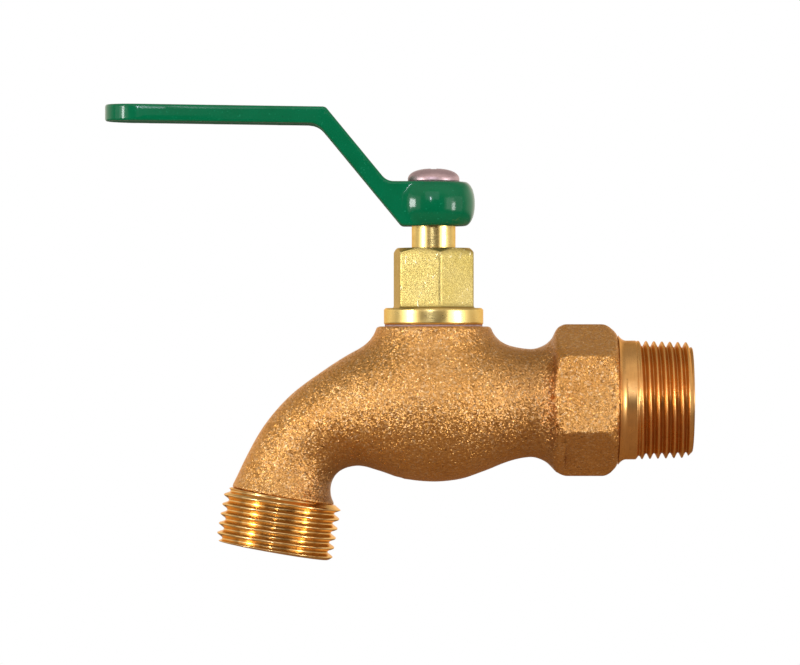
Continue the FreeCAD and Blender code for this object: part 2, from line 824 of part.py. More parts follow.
def spindle():
    """Flanged stem with two seal grooves, a clip groove, a squared top and a drive tongue."""
    body = new_body("spindle")
    corners = [
        ("0", "spindle_flange_base"),
        ("spindle_flange_radius", "spindle_flange_base"),
        ("spindle_flange_radius", "spindle_flange_top"),
        ("spindle_radius", "spindle_flange_top"),
    ]
    half_groove = "o_ring_groove_width / 2"
    for depth in ("lower_o_ring_depth", "upper_o_ring_depth"):
        corners += [
            ("spindle_radius", f"hex_top - {depth} - {half_groove}"),
            ("o_ring_groove_radius", f"hex_top - {depth} - {half_groove}"),
            ("o_ring_groove_radius", f"hex_top - {depth} + {half_groove}"),
            ("spindle_radius", f"hex_top - {depth} + {half_groove}"),
        ]
    corners += [
        ("spindle_radius", "ring_base - running_play / 2"),
        ("ring_groove_radius", "ring_base - running_play / 2"),
        ("ring_groove_radius", "ring_base + retaining_ring_thickness + running_play"),
        ("spindle_radius", "ring_base + retaining_ring_thickness + running_play"),
        ("spindle_radius", "spindle_top - spindle_edge"),
        ("spindle_radius - spindle_edge", "spindle_top"),
        ("0", "spindle_top"),
    ]
    revolved(body, "turned_stem", corners)
    tongue = plane_sketch(body, "tongue_outline", "XY_Plane", "moving_disc_top - drive_slot_depth")
    half_length, half_width = "tongue_length / 2", "tongue_width / 2"
    draw_profile(tongue, rectangle(f"-{half_length}", half_length, f"-{half_width}", half_width))
    padded(body, "drive_tongue", tongue, "drive_gap + drive_slot_depth")
    notch = plane_sketch(body, "stop_notch_outline", "XY_Plane", "spindle_flange_top")
    notch_start = "-(stop_lug_angle / 2 + stop_play_angle)"
    notch_end = "quarter_turn + stop_lug_angle / 2 + stop_play_angle"
    notch_depth = "stop_lug_inner_radius - stop_notch_gap"
    draw_profile(notch, ring_sector(notch_depth, "barrel_radius", notch_start, notch_end))
    pocketed(body, "stop_notch", notch, "spindle_flange_thickness")
    square = plane_sketch(body, "square_outline", "XY_Plane", "spindle_top")
    for half in ("spindle_radius", "square_across / 2"):
        draw_profile(square, rectangle(f"-{half}", half, f"-{half}", half))
    pocketed(body, "squared_top", square, "spindle_top - lever_base")
    tap = plane_sketch(body, "tapped_hole_outline", "XY_Plane", "spindle_top")
    draw_circle(tap, "tapped_radius")
    pocketed(body, "tapped_hole", tap, "tapped_hole_depth")
    return at_stem(body)


def spindle_o_ring(name, depth):
    """Square-cut rubber ring that fills its groove out to the stem bore."""
    body = new_body(name)
    inner = "o_ring_groove_radius + o_ring_slack"
    outer = "stem_bore_radius - o_ring_slack"
    low = f"hex_top - {depth} - o_ring_section / 2"
    revolved(body, f"{name}_turned", rectangle(inner, outer, low, f"{low} + o_ring_section"))
    return at_stem(body)


def retaining_ring():
    """Open spring clip that holds the spindle up in the housing."""
    body = new_body("retaining_ring")
    sketch = plane_sketch(body, "clip_outline", "XY_Plane", "ring_base")
    inner = "ring_groove_radius + running_play"
    draw_circle(sketch, inner)
    draw_circle(sketch, f"{inner} + retaining_ring_width")
    padded(body, "clip_pad", sketch, "retaining_ring_thickness")
    mouth = plane_sketch(body, "clip_mouth_outline", "XY_Plane", "ring_base + retaining_ring_thickness")
    half = "retaining_ring_mouth / 2"
    outside = f"({inner} + 2 * retaining_ring_width)"
    corners = [on_circle(outside, f"90 {side} {half}") for side in "-+"]
    draw_profile(mouth, [("0", "0"), *corners])
    pocketed(body, "clip_mouth", mouth, "retaining_ring_thickness")
    return at_stem(body)


def cut_ports(body, level, depth):
    """Two opposite sector ports through a ceramic disc."""
    sketch = plane_sketch(body, "port_outline", "XY_Plane", level)
    sides = ("90 - port_angle / 2", "90 + port_angle / 2")
    draw_profile(sketch, ring_sector("port_inner_radius", "port_outer_radius", *sides))
    port = pocketed(body, "port", sketch, depth)
    half_turn_copy(body, "ports", port)


def rotating_disc():
    body = new_body("rotating_disc")
    blank = plane_sketch(body, "disc_outline", "XY_Plane", "moving_disc_base")
    draw_circle(blank, "disc_radius")
    padded(body, "disc_pad", blank, "moving_disc_thickness")
    slot = plane_sketch(body, "drive_slot_outline", "XY_Plane", "moving_disc_top")
    half_width = "(tongue_width / 2 + tongue_clearance)"
    half_length = "(disc_radius + tongue_clearance)"
    draw_profile(slot, rectangle(f"-{half_length}", half_length, f"-{half_width}", half_width))
    pocketed(body, "drive_slot", slot, "drive_slot_depth + tongue_clearance")
    cut_ports(body, "moving_disc_top", "moving_disc_thickness")
    return at_stem(body)


def fixed_disc():
    """Lower disc, held from turning by two lugs in the barrel's slots."""
    body = new_body("fixed_disc")
    blank = plane_sketch(body, "disc_outline", "XY_Plane", "seal_top")
    draw_circle(blank, "disc_radius")
    padded(body, "disc_pad", blank, "fixed_disc_thickness")
    lugs = plane_sketch(body, "lug_outline", "XY_Plane", "seal_top")
    half_length = "(disc_radius + disc_lug_reach)"
    half_width = "disc_lug_width / 2"
    draw_profile(lugs, rectangle(f"-{half_length}", half_length, f"-{half_width}", half_width))
    padded(body, "lugs", lugs, "fixed_disc_thickness")
    cut_ports(body, "fixed_disc_top", "fixed_disc_thickness")
    return at_stem(body)


def seat_seal():
    """Rubber ring with a raised lip at its outer edge, squeezed between the seat and the fixed disc."""
    body = new_body("seat_seal")
    outer = "(barrel_bore_radius - seal_fit)"
    middle = f"(seal_inner_radius + {outer}) / 2"
    revolved(
        body,
        "seal_ring",
        [
            ("seal_inner_radius", "seat_level"),
            (outer, "seat_level"),
            (outer, "seal_top"),
            (middle, "seal_top"),
            (f"{middle} - seal_lip", "seal_top - seal_lip"),
            ("seal_inner_radius", "seal_top - seal_lip"),
        ],
    )
    return at_stem(body)


def seal_support_ring():
    """Stiff ring that keeps the rubber from folding into the seat hole."""
    body = new_body("seal_support_ring")
    sketch = plane_sketch(body, "support_outline", "XY_Plane", "seat_level")
    outer = "(seal_inner_radius - seal_fit)"
    draw_circle(sketch, outer)
    draw_circle(sketch, f"{outer} - support_wall")
    padded(body, "support_pad", sketch, "seal_height - seal_lip")
    return at_stem(body)


# Lever and its screw


def handle():
    """Cranked lever: a flat arm with a round end, a steep crank, and a barrel-shaped boss."""
    body = new_body("handle")
    bend_top = "(arm_top)"
    bend_under_across = "-(arm_bend_reach + arm_thickness * tan(arm_slope / 2))"
    bend_under = "(arm_top - arm_thickness)"
    foot_across = "(arm_crank_height / tan(arm_slope) - arm_bend_reach)"
    heel_across = f"({bend_under_across} + ({bend_under} - lever_base) / tan(arm_slope))"
    side = plane_sketch(body, "arm_side", "XZ_Plane")
    draw_profile(
        side,
        [
            ("0", "lever_base"),
            ("0", "lever_top"),
            (foot_across, "lever_top"),
            ("-arm_bend_reach", bend_top),
            ("-arm_reach", f"{bend_top} + arm_rise"),
            ("-arm_reach", f"{bend_top} + arm_rise - arm_thickness"),
            (bend_under_across, bend_under),
            (heel_across, "lever_base"),
        ],
    )
    padded(body, "arm", side, "arm_width", middle=True)
    spots = {name: value(text) for name, text in {
        "tip": "-arm_reach",
        "bend": "-arm_bend_reach",
        "under": bend_under_across,
        "foot": foot_across,
        "top": "arm_top",
        "floor": bend_under,
        "face": "lever_top",
    }.items()}

    def runs_across(edge, across, up):
        """Edge along Y through a corner of the side outline."""
        ends = [vertex.Point for vertex in edge.Vertexes]
        return all(abs(end.x - across) < NEAR and abs(end.z - up) < NEAR for end in ends)

    def stands_at(edge, across):
        """Upright edge at one end of the arm."""
        ends = [vertex.Point for vertex in edge.Vertexes]
        return all(abs(end.x - across) < NEAR for end in ends) and ends[0].y * ends[1].y > 0

    for name, across, up, radius in (
        ("bend_top", "bend", "top", "bend_outer_radius"),
        ("bend_under", "under", "floor", "bend_inner_radius"),
        ("arm_foot", "foot", "face", "arm_foot_radius"),
    ):
        corner_test = lambda edge, x=spots[across], z=spots[up]: runs_across(edge, x, z)
        dressed(body, "PartDesign::Fillet", name, corner_test, radius)
    tip = spots["tip"]
    dressed(body, "PartDesign::Fillet", "round_tip", lambda edge: stands_at(edge, tip), "arm_tip_rounding")
    dressed(body, "PartDesign::Fillet", "round_root", lambda edge: stands_at(edge, 0), "arm_root_rounding")
    waist = "lever_boss_bevel"
    edge_radius = "(lever_boss_radius - lever_boss_edge)"
    revolved(
        body,
        "barrel_boss",
        [
            ("0", "lever_base"),
            ("lever_boss_face_radius", "lever_base"),
            (edge_radius, f"lever_base + {waist}"),
            ("lever_boss_radius", "lever_base + lever_boss_height / 2"),
            (edge_radius, f"lever_top - {waist}"),
            ("lever_boss_face_radius", "lever_top"),
            ("0", "lever_top"),
        ],
    )
    square = plane_sketch(body, "square_hole_outline", "XY_Plane")
    half = "(square_across / 2 + square_clearance)"
    draw_profile(square, rectangle(f"-{half}", half, f"-{half}", half))
    pocketed(body, "square_hole", square)
    return at_stem(body)


def handle_screw():
    body = new_body("handle_screw")
    fall = "(screw_head_height - screw_head_rim)"
    dome = [
        (f"screw_head_radius * cos({angle})", f"lever_top + screw_head_rim + {fall} * sin({angle})")
        for angle in ("0", "screw_dome_step", "2 * screw_dome_step")
    ]
    revolved(
        body,
        "turned_screw",
        [
            ("0", "lever_top - screw_length"),
            ("screw_radius", "lever_top - screw_length"),
            ("screw_radius", "lever_top"),
            ("screw_head_radius", "lever_top"),
            *dome,
            ("0", "lever_top + screw_head_height"),
        ],
    )
    recess = plane_sketch(body, "recess_outline", "XY_Plane", "lever_top + screw_head_height")
    long, short = "recess_length / 2", "recess_width / 2"
    draw_profile(
        recess,
        [
            (f"-{long}", f"-{short}"),
            (f"-{short}", f"-{short}"),
            (f"-{short}", f"-{long}"),
            (short, f"-{long}"),
            (short, f"-{short}"),
            (long, f"-{short}"),
            (long, short),
            (short, short),
            (short, long),
            (f"-{short}", long),
            (f"-{short}", short),
            (f"-{long}", short),
        ],
    )
    pocketed(body, "cross_recess", recess, "recess_depth")
    return at_stem(body)


def build_parts():
    return [
        valve_body(),
        flange_gasket(),
        cartridge_housing(),
        slip_washer(),
        spindle(),
        spindle_o_ring("spindle_o_ring_upper", "upper_o_ring_depth"),
        spindle_o_ring("spindle_o_ring_lower", "lower_o_ring_depth"),
        retaining_ring(),
        rotating_disc(),
        fixed_disc(),
        seat_seal(),
        seal_support_ring(),
        handle(),
        handle_screw(),
    ]


def check(parts):
    for item in doc.Objects:
        if {"Invalid", "Error"} & set(item.State):
            raise RuntimeError(f"{item.Name} failed: {item.State}")
    for part in parts:
        shape = part.Shape
        if shape.isNull() or not shape.isValid() or not shape.Solids:
            raise RuntimeError(f"{part.Name} has no valid solid")


def main():
    fill_sheet()
    parts = build_parts()
    doc.recompute()
    check(parts)
    os.makedirs("parts", exist_ok=True)
    for part in parts:
        part.Shape.exportStep(f"parts/{part.Label}.step")
        box = part.Shape.BoundBox
        print(f"{part.Label}: {len(part.Shape.Solids)} solid, {part.Shape.Volume:.1f} mm3,"
              f" {box.XLength:.1f} x {box.YLength:.1f} x {box.ZLength:.1f} mm")


main()
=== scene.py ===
# %% [markdown]
# # A quarter-turn hose bibb
# This notebook dresses the packed model of a garden tap: a cast bronze body with a pipe thread at one end
# and a hose thread at the other, a brass bonnet screwed into its boss, and a green lever held by one screw.
# The packed model gives the places and the sizes. Everything here is drawn in millimetres and brought to
# metres at the last moment, because a maker reads 13.3 mm more easily than 0.0133 m. Blender's start-up
# objects are put away first, or they would count in the size.

# %% Load the frame
import json
import math

import bmesh
import bpy
import numpy as np
import openvdb
from mathutils import Matrix, Vector

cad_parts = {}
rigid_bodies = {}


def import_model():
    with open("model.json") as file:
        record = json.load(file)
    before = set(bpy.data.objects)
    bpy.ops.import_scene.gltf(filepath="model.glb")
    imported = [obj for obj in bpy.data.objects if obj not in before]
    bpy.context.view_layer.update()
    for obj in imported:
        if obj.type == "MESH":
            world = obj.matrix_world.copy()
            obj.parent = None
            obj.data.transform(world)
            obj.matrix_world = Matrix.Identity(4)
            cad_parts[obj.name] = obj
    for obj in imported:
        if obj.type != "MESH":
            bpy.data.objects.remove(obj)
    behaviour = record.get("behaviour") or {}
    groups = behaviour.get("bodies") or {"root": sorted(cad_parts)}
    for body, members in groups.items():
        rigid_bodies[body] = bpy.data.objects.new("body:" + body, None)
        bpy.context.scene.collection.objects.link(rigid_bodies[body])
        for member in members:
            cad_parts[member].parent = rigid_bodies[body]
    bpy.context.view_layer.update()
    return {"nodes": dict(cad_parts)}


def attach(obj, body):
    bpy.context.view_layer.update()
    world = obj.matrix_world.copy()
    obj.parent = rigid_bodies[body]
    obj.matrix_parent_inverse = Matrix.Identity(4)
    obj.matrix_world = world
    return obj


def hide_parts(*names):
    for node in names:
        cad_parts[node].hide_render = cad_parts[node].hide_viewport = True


for leftover in list(bpy.data.objects):
    bpy.data.objects.remove(leftover)
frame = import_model()
MM = 0.001
print("nodes:", ", ".join(sorted(frame["nodes"])))

# %% [markdown]
# ## Places that every step uses
# The pipe's axis is the X axis and its open end is at zero. The stem stands on the globe, 59 mm back from
# that end. The spout bends about one centre, and its mouth points ten degrees off straight down.

# %% Places and directions
STEM_X = -59.0
BEND_X, BEND_Z = -65.7, -26.8
OUTLET_ANGLE = 80.0
OUTLET_REACH = 28.0
BOSS_TOP = 16.8
HEX_FACE = -16.9
HEX_END = -31.5

tilt = math.radians(OUTLET_ANGLE)
flow = Vector((-math.cos(tilt), 0.0, -math.sin(tilt)))
collar = Vector((BEND_X - OUTLET_REACH * math.sin(tilt), 0.0, OUTLET_REACH * math.cos(tilt) + BEND_Z))


def standing_on(place, along):
    """Matrix that stands a piece's own Z on a place, pointing along a direction."""
    turn = Vector(along).to_track_quat("Z", "Y").to_matrix().to_4x4()
    return Matrix.Translation(place) @ turn


AT_STEM = Matrix.Translation((STEM_X, 0.0, 0.0))
AT_COLLAR = standing_on(collar, flow)
AT_PIPE = standing_on((HEX_FACE, 0.0, 0.0), (1, 0, 0))
print("collar at", [round(c, 2) for c in collar])

# %% [markdown]
# ## A solid from a rule
# A casting has no straight edges: every corner is filled by sand. It could be modelled by subdivision, but
# a blend between a ball, a pipe and a boss is awkward to lay out in quads. So the casting is written as a
# distance: a rule that says how far a point is from the skin. The volume library that Blender brings turns
# the surface where the rule is zero into a mesh. Two small steps then pull each vertex onto the rule.


# %% Solids from a distance rule
PULLS = 2
LEAST_SLOPE = 0.3


def new_object(name, data):
    """An object in the scene that carries a mesh, a lamp or a camera."""
    piece = bpy.data.objects.new(name, data)
    bpy.context.scene.collection.objects.link(piece)
    return piece


def mesh_piece(name, points, faces):
    mesh = bpy.data.meshes.new(name)
    mesh.from_pydata([tuple(p) for p in points], [], [tuple(f) for f in faces])
    mesh.validate()
    mesh.shade_smooth()
    return new_object(name, mesh)


def steepest(rule, points, probe):
    """The way out of the metal at each point, from small steps to either side."""
    steps = np.eye(3) * probe
    return np.stack([rule(*(points + s).T) - rule(*(points - s).T) for s in steps], 1) / (2 * probe)


def solid_from_rule(name, rule, low, high, cell, thrift=0.0):
    """Closed mesh, in metres, of everything where rule(x, y, z) is below zero; all in millimetres.
    Thrift above zero lays fewer faces where the skin is flat."""
    low = np.array(low, float)
    axes = [np.arange(a, b, cell) for a, b in zip(low, high)]
    x, y, z = np.meshgrid(*axes, indexing="ij", sparse=True)
    grid = openvdb.FloatGrid(3 * cell)
    grid.copyFromArray(np.ascontiguousarray(rule(x, y, z), dtype=np.float32))
    grid.transform = openvdb.createLinearTransform(voxelSize=cell)
    points, triangles, quads = grid.convertToPolygons(0.0, thrift)
    points = points.astype(float) + low
    for _ in range(PULLS):
        slope = steepest(rule, points, cell / 8)
        pull = rule(*points.T) / np.maximum((slope**2).sum(1), LEAST_SLOPE)
        points -= np.clip(pull, -cell / 3, cell / 3)[:, None] * slope
    piece = mesh_piece(name, points * MM, [*triangles, *quads])
    print(name, len(triangles) + len(quads) * 2, "triangles")
    return piece


# %% [markdown]
# Two rules join by taking the nearer skin, and share by taking the farther one. Plain arithmetic would leave
# a knife edge there, so the two are mixed over a few millimetres, as a fillet does. Along a pipe the radius
# changes from station to station, and a soft curve runs through the stations.


# %% Blends and curves
def smooth_min(a, b, blend):
    """The nearer of two skins, with the corner between them filled."""
    share = np.maximum(blend - np.abs(a - b), 0.0) / blend
    return np.minimum(a, b) - share * share * blend / 4


def smooth_max(a, b, blend):
    """What two skins share, with the edge between them eased."""
    return -smooth_min(-a, -b, blend)


def smooth_curve(stations, values):
    """A soft curve through a few measured stations."""
    at = np.array(stations, float)
    value = np.array(values, float)
    slopes = np.gradient(value, at)
    gaps = np.diff(at)

    def curve(x):
        x = np.clip(x, at[0], at[-1])
        i = np.clip(np.searchsorted(at, x) - 1, 0, len(gaps) - 1)
        t = (x - at[i]) / gaps[i]
        rise, start, end = value[i + 1] - value[i], slopes[i] * gaps[i], slopes[i + 1] * gaps[i]
        return value[i] + t * (start + t * (3 * rise - 2 * start - end + t * (start + end - 2 * rise)))

    return curve


print("a blend of 5 mm fills a corner by", -smooth_min(0.0, 0.0, 5.0), "mm")

# %% [markdown]
# ## The casting's outside
# The pattern maker thinks of it as a pipe that swells into a globe and then bends down into a narrower
# spout. The barrel is round, on an axis that runs about 1 mm under the pipe's. Past the crown every section
# is a circle on a ray from the bend's centre. Stations were measured along the photograph's silhouette.

# %% The barrel and the bend
COLLAR_EDGE = 0.8
NECK_LAP = 2.0
axis_drop = smooth_curve([-62, -54, -48, -40, -31], [1.2, 1.15, 0.95, 0.72, 0.7])
barrel_radius = smooth_curve(
    [BEND_X, -62.3, STEM_X, -55.5, -52.0, -48.9, -46.0, -43.4, -40.6, -38.0, -36.4, -34.8, -33.4, -32.3, -31],
    [16.8, 17.24, 17.43, 17.24, 16.7, 15.75, 14.75, 13.75, 12.9, 12.42, 12.35, 12.75, 13.45, 14.3, 15.2],
)
bend_reach = smooth_curve([0, 15, 30, 43, 57, 70, 80], [25.6, 24.87, 25.35, 27.1, 28.3, 28.3, 28.0])
bend_radius = smooth_curve(
    [0, 15, 30, 43, 57, 70, 75.5, 80],
    [16.8, 14.98, 12.85, 11.0, 9.95, 10.4, 11.1, 12.0],
)


def barrel_and_bend(x, y, z):
    barrel = np.hypot(y, z + axis_drop(x)) - barrel_radius(x)
    left, up = BEND_X - x, z - BEND_Z
    angle = np.degrees(np.arctan2(left, up))
    bend = np.hypot(np.hypot(left, up) - bend_reach(angle), y) - bend_radius(angle)
    past_collar = (x - collar.x) * flow.x + (z - collar.z) * flow.z
    bend = smooth_max(bend, past_collar, COLLAR_EDGE)
    barrel = np.maximum(barrel, x - (HEX_END + NECK_LAP))
    return np.where(x > BEND_X, barrel, bend)


print("globe", 2 * barrel_radius(STEM_X), "mm across")

# %% [markdown]
# A straight boss stands on the globe for the bonnet, and the wrench hexagon closes the neck. The hexagon is
# turned a few degrees about the pipe, as in the photograph. Its corners are turned down at both ends and
# every edge is soft.

# %% The boss and the wrench hexagon
BOSS_RADIUS = 12.75
BOSS_BLEND = 5.0
BOSS_SPARE = 4.0
HEX_ACROSS = 30.4
HEX_ROLL = math.radians(-5.6)
THREAD_SIDE_CHAMFER, NECK_SIDE_CHAMFER = 2.7, 1.9
HEX_EDGE, HEX_RIM, HEX_CORNER = 0.5, 1.0, 0.9


def boss(x, y, z):
    wall = np.hypot(x - STEM_X, y) - BOSS_RADIUS
    return np.maximum(wall, np.maximum(z - (BOSS_TOP + BOSS_SPARE), -z))


def wrench_hexagon(x, y, z):
    """Hexagon round the pipe, its corners turned down at both ends."""
    flats = None
    for side in range(3):
        lean = HEX_ROLL + math.radians(60 * side)
        face = np.abs(y * math.cos(lean) + z * math.sin(lean)) - HEX_ACROSS / 2
        flats = face if flats is None else smooth_max(flats, face, HEX_EDGE)
    corner = HEX_ACROSS / math.sqrt(3)
    around = np.hypot(y, z)
    thread_side = (around - corner + (x - HEX_FACE) + THREAD_SIDE_CHAMFER) / math.sqrt(2)
    neck_side = (around - corner - (x - HEX_END) + NECK_SIDE_CHAMFER) / math.sqrt(2)
    ends = smooth_max(x - HEX_FACE, HEX_END - x, HEX_EDGE)
    blank = smooth_max(smooth_max(thread_side, neck_side, HEX_EDGE), ends, HEX_RIM)
    return smooth_max(flats, blank, HEX_CORNER)


print("hexagon", round(HEX_ACROSS * 2 / math.sqrt(3), 1), "mm over its corners")

# %% Cast the pattern
CAST_CELL = 0.40
BOSS_EDGE = 0.7
NECK_BLEND = 1.6


def casting_rule(x, y, z):
    skin = smooth_min(barrel_and_bend(x, y, z), boss(x, y, z), BOSS_BLEND)
    skin = smooth_max(skin, z - BOSS_TOP, BOSS_EDGE)
    return smooth_min(skin, wrench_hexagon(x, y, z), NECK_BLEND)


casting = solid_from_rule("casting", casting_rule, (-108, -20, -28), (-15, 20, 20), CAST_CELL)

# %% [markdown]
# ## Turned pieces and cuts
# A turned piece is a profile spun round an axis. It could be a screw modifier, but a short loop closes the
# poles and the seam at once, and a closed piece can cut another. The cuts are booleans with the manifold
# solver, which is quick and exact where every mesh is closed.


# %% Turn a profile
def outward(piece):
    """Points every face of a closed mesh away from its metal."""
    work = bmesh.new()
    work.from_mesh(piece.data)
    bmesh.ops.recalc_face_normals(work, faces=work.faces)
    if work.calc_volume(signed=True) < 0:
        bmesh.ops.reverse_faces(work, faces=work.faces)
    work.to_mesh(piece.data)
    work.free()


def turned(name, profile, place, steps=96):
    """Closed solid of revolution. The profile is (radius, height) in mm; zero radius makes a pole."""
    points, rings = [], []
    for radius, height in profile:
        count = 1 if radius == 0 else steps
        rings.append(range(len(points), len(points) + count))
        for s in range(count):
            angle = 2 * math.pi * s / steps
            points.append(place @ Vector((radius * math.cos(angle), radius * math.sin(angle), height)))
    if len(rings[0]) > 1:
        rings.append(rings[0])
    faces = []
    for a, b in zip(rings, rings[1:]):
        for s in range(steps):
            corners = [a[s % len(a)], a[(s + 1) % len(a)], b[(s + 1) % len(b)], b[s % len(b)]]
            faces.append(list(dict.fromkeys(corners)))
    piece = mesh_piece(name, [p * MM for p in points], faces)
    outward(piece)
    return piece


print("96 flats stray from a 10 mm bore by", round(10 * (1 - math.cos(math.pi / 96)), 4), "mm")


# %% Blocks and cuts
def from_drawing(name, work):
    """Keeps what bmesh has drawn as an object."""
    mesh = bpy.data.meshes.new(name)
    work.to_mesh(mesh)
    work.free()
    return new_object(name, mesh)


def block(name, size, place):
    """Plain block of a size, centred on a place."""
    work = bmesh.new()
    bmesh.ops.create_cube(work, size=1.0)
    for corner in work.verts:
        corner.co = (place @ Vector([c * s for c, s in zip(corner.co, size)])) * MM
    return from_drawing(name, work)


def keep_result(piece, step):
    """Puts what a modifier makes in place of the piece's own mesh."""
    bpy.context.view_layer.update()
    result = bpy.data.meshes.new_from_object(piece.evaluated_get(bpy.context.evaluated_depsgraph_get()))
    piece.modifiers.remove(step)
    old = piece.data
    piece.data = result
    result.name = piece.name
    bpy.data.meshes.remove(old)


def machine(piece, tool):
    """Cuts a tool's shape out of a piece, and puts the tool away."""
    step = piece.modifiers.new("cut", "BOOLEAN")
    step.object = tool
    step.operation = "DIFFERENCE"
    step.solver = "MANIFOLD"
    keep_result(piece, step)
    bpy.data.objects.remove(tool)


print("a cut leaves one closed mesh and no tool behind")

# %% [markdown]
# ## The cores
# Sand cores leave the waterway: a bore from the pipe end, a passage that dives under the cartridge's
# chamber, a low chamber that feeds the seat from below, and the way round the bend to the mouth. The
# cartridge's chamber and the seat are then cut on a lathe. Each core is a small closed solid, and the
# casting is cut by one after another.

# %% Cut the chambers and the inlet
SEAT = -4.5
SEAT_PLATE = 2.5
SEAT_HOLE = 5.2
CHAMBER_TOP = SEAT + 14.2
CHAMBER_RADIUS = 12
BONNET_HOLE = 10
HOLE_BEVEL = 0.5
LOW_RADIUS = 10.2
BORE = 7.9
BORE_DEPTH = 23.6
OVER = 2

ceiling = SEAT - SEAT_PLATE
floor_of_low = ceiling - 8.6
bevel_start = BOSS_TOP - 0.4
chamber = [
    (0, ceiling - 1), (SEAT_HOLE, ceiling - 1), (SEAT_HOLE, SEAT), (CHAMBER_RADIUS, SEAT),
    (CHAMBER_RADIUS, CHAMBER_TOP), (BONNET_HOLE, CHAMBER_TOP), (BONNET_HOLE, bevel_start),
    (BONNET_HOLE + HOLE_BEVEL, bevel_start + HOLE_BEVEL), (BONNET_HOLE + HOLE_BEVEL, BOSS_TOP + OVER),
    (0, BOSS_TOP + OVER),
]
low_chamber = [
    (0, floor_of_low), (6.4, floor_of_low), (LOW_RADIUS, ceiling - 5), (LOW_RADIUS, ceiling), (0, ceiling),
]
inlet_bore = [(0, -BORE_DEPTH), (BORE, -BORE_DEPTH), (BORE, 20), (0, 20)]
machine(casting, turned("chamber", chamber, AT_STEM))
machine(casting, turned("low_chamber", low_chamber, AT_STEM))
machine(casting, turned("inlet_bore", inlet_bore, AT_PIPE))
print("seat ring", CHAMBER_RADIUS - SEAT_HOLE, "mm wide over a plate of", SEAT_PLATE, "mm")

# %% Cut the passage, the spout's core and the mouth
SPOUT_CORE = 6.9
CORE_REACH = 28.9
RUN_ON = 1.0
MOUTH = 9.2
MOUTH_DEPTH = 2.5
PASSAGE_SIZE = (17.6, 12.0, 5.0)
DIVE = math.radians(-30)


def on_bend(angle, reach):
    angle = math.radians(angle)
    return Vector((BEND_X - reach * math.sin(angle), 0, reach * math.cos(angle) + BEND_Z))


def core_along(name, radius, start, end):
    """Straight round core between two points, run on a little at both ends."""
    top = (end - start).length + RUN_ON
    profile = [(0, -RUN_ON), (radius, -RUN_ON), (radius, top), (0, top)]
    return turned(name, profile, standing_on(start, end - start), 64)


passage_place = Matrix.Translation((STEM_X + 15.4, 0, -8.0)) @ Matrix.Rotation(DIVE, 4, "Y")
machine(casting, block("passage", PASSAGE_SIZE, passage_place))
core_rays = [4.0, 30.0, 57.0, OUTLET_ANGLE]
for start, end in zip(core_rays, core_rays[1:]):
    leg = on_bend(start, CORE_REACH), on_bend(end, CORE_REACH)
    machine(casting, core_along("spout_core", SPOUT_CORE, *leg))
mouth = [(0, -MOUTH_DEPTH), (MOUTH, -MOUTH_DEPTH), (MOUTH, 3), (0, 3)]
machine(casting, turned("mouth", mouth, AT_COLLAR))
print("casting", len(casting.data.polygons), "faces after the cores")

# %% [markdown]
# A cut leaves long thin triangles beside small ones, and smooth shading would streak there. So each vertex
# that lies on the skin takes its normal from the rule, and the cut faces keep the mesh's own.


# %% Shade the skin by its rule
def shade_by_rule(piece, rule, near=0.02):
    """Gives every vertex that lies on the rule's skin the rule's own normal."""
    mesh = piece.data
    points = np.empty(len(mesh.vertices) * 3)
    mesh.vertices.foreach_get("co", points)
    points = points.reshape(-1, 3) / MM
    slope = steepest(rule, points, 0.03)
    slope /= np.maximum(np.linalg.norm(slope, axis=1), 1e-6)[:, None]
    on_skin = np.abs(rule(*points.T)) < near
    normals = np.zeros_like(points)
    normals[on_skin] = slope[on_skin]
    mesh.normals_split_custom_set_from_vertices(normals.tolist())
    print(piece.name, on_skin.sum(), "of", len(points), "vertices lie on the skin")


shade_by_rule(casting, casting_rule)

# %% [markdown] ## Finishes A finish is a small recipe: patterns of noise and cells decide the colour, the
# roughness and the relief. Patterns read Object coordinates, so they stay put on the piece, and the
# object's own metre is scaled to millimetres first.


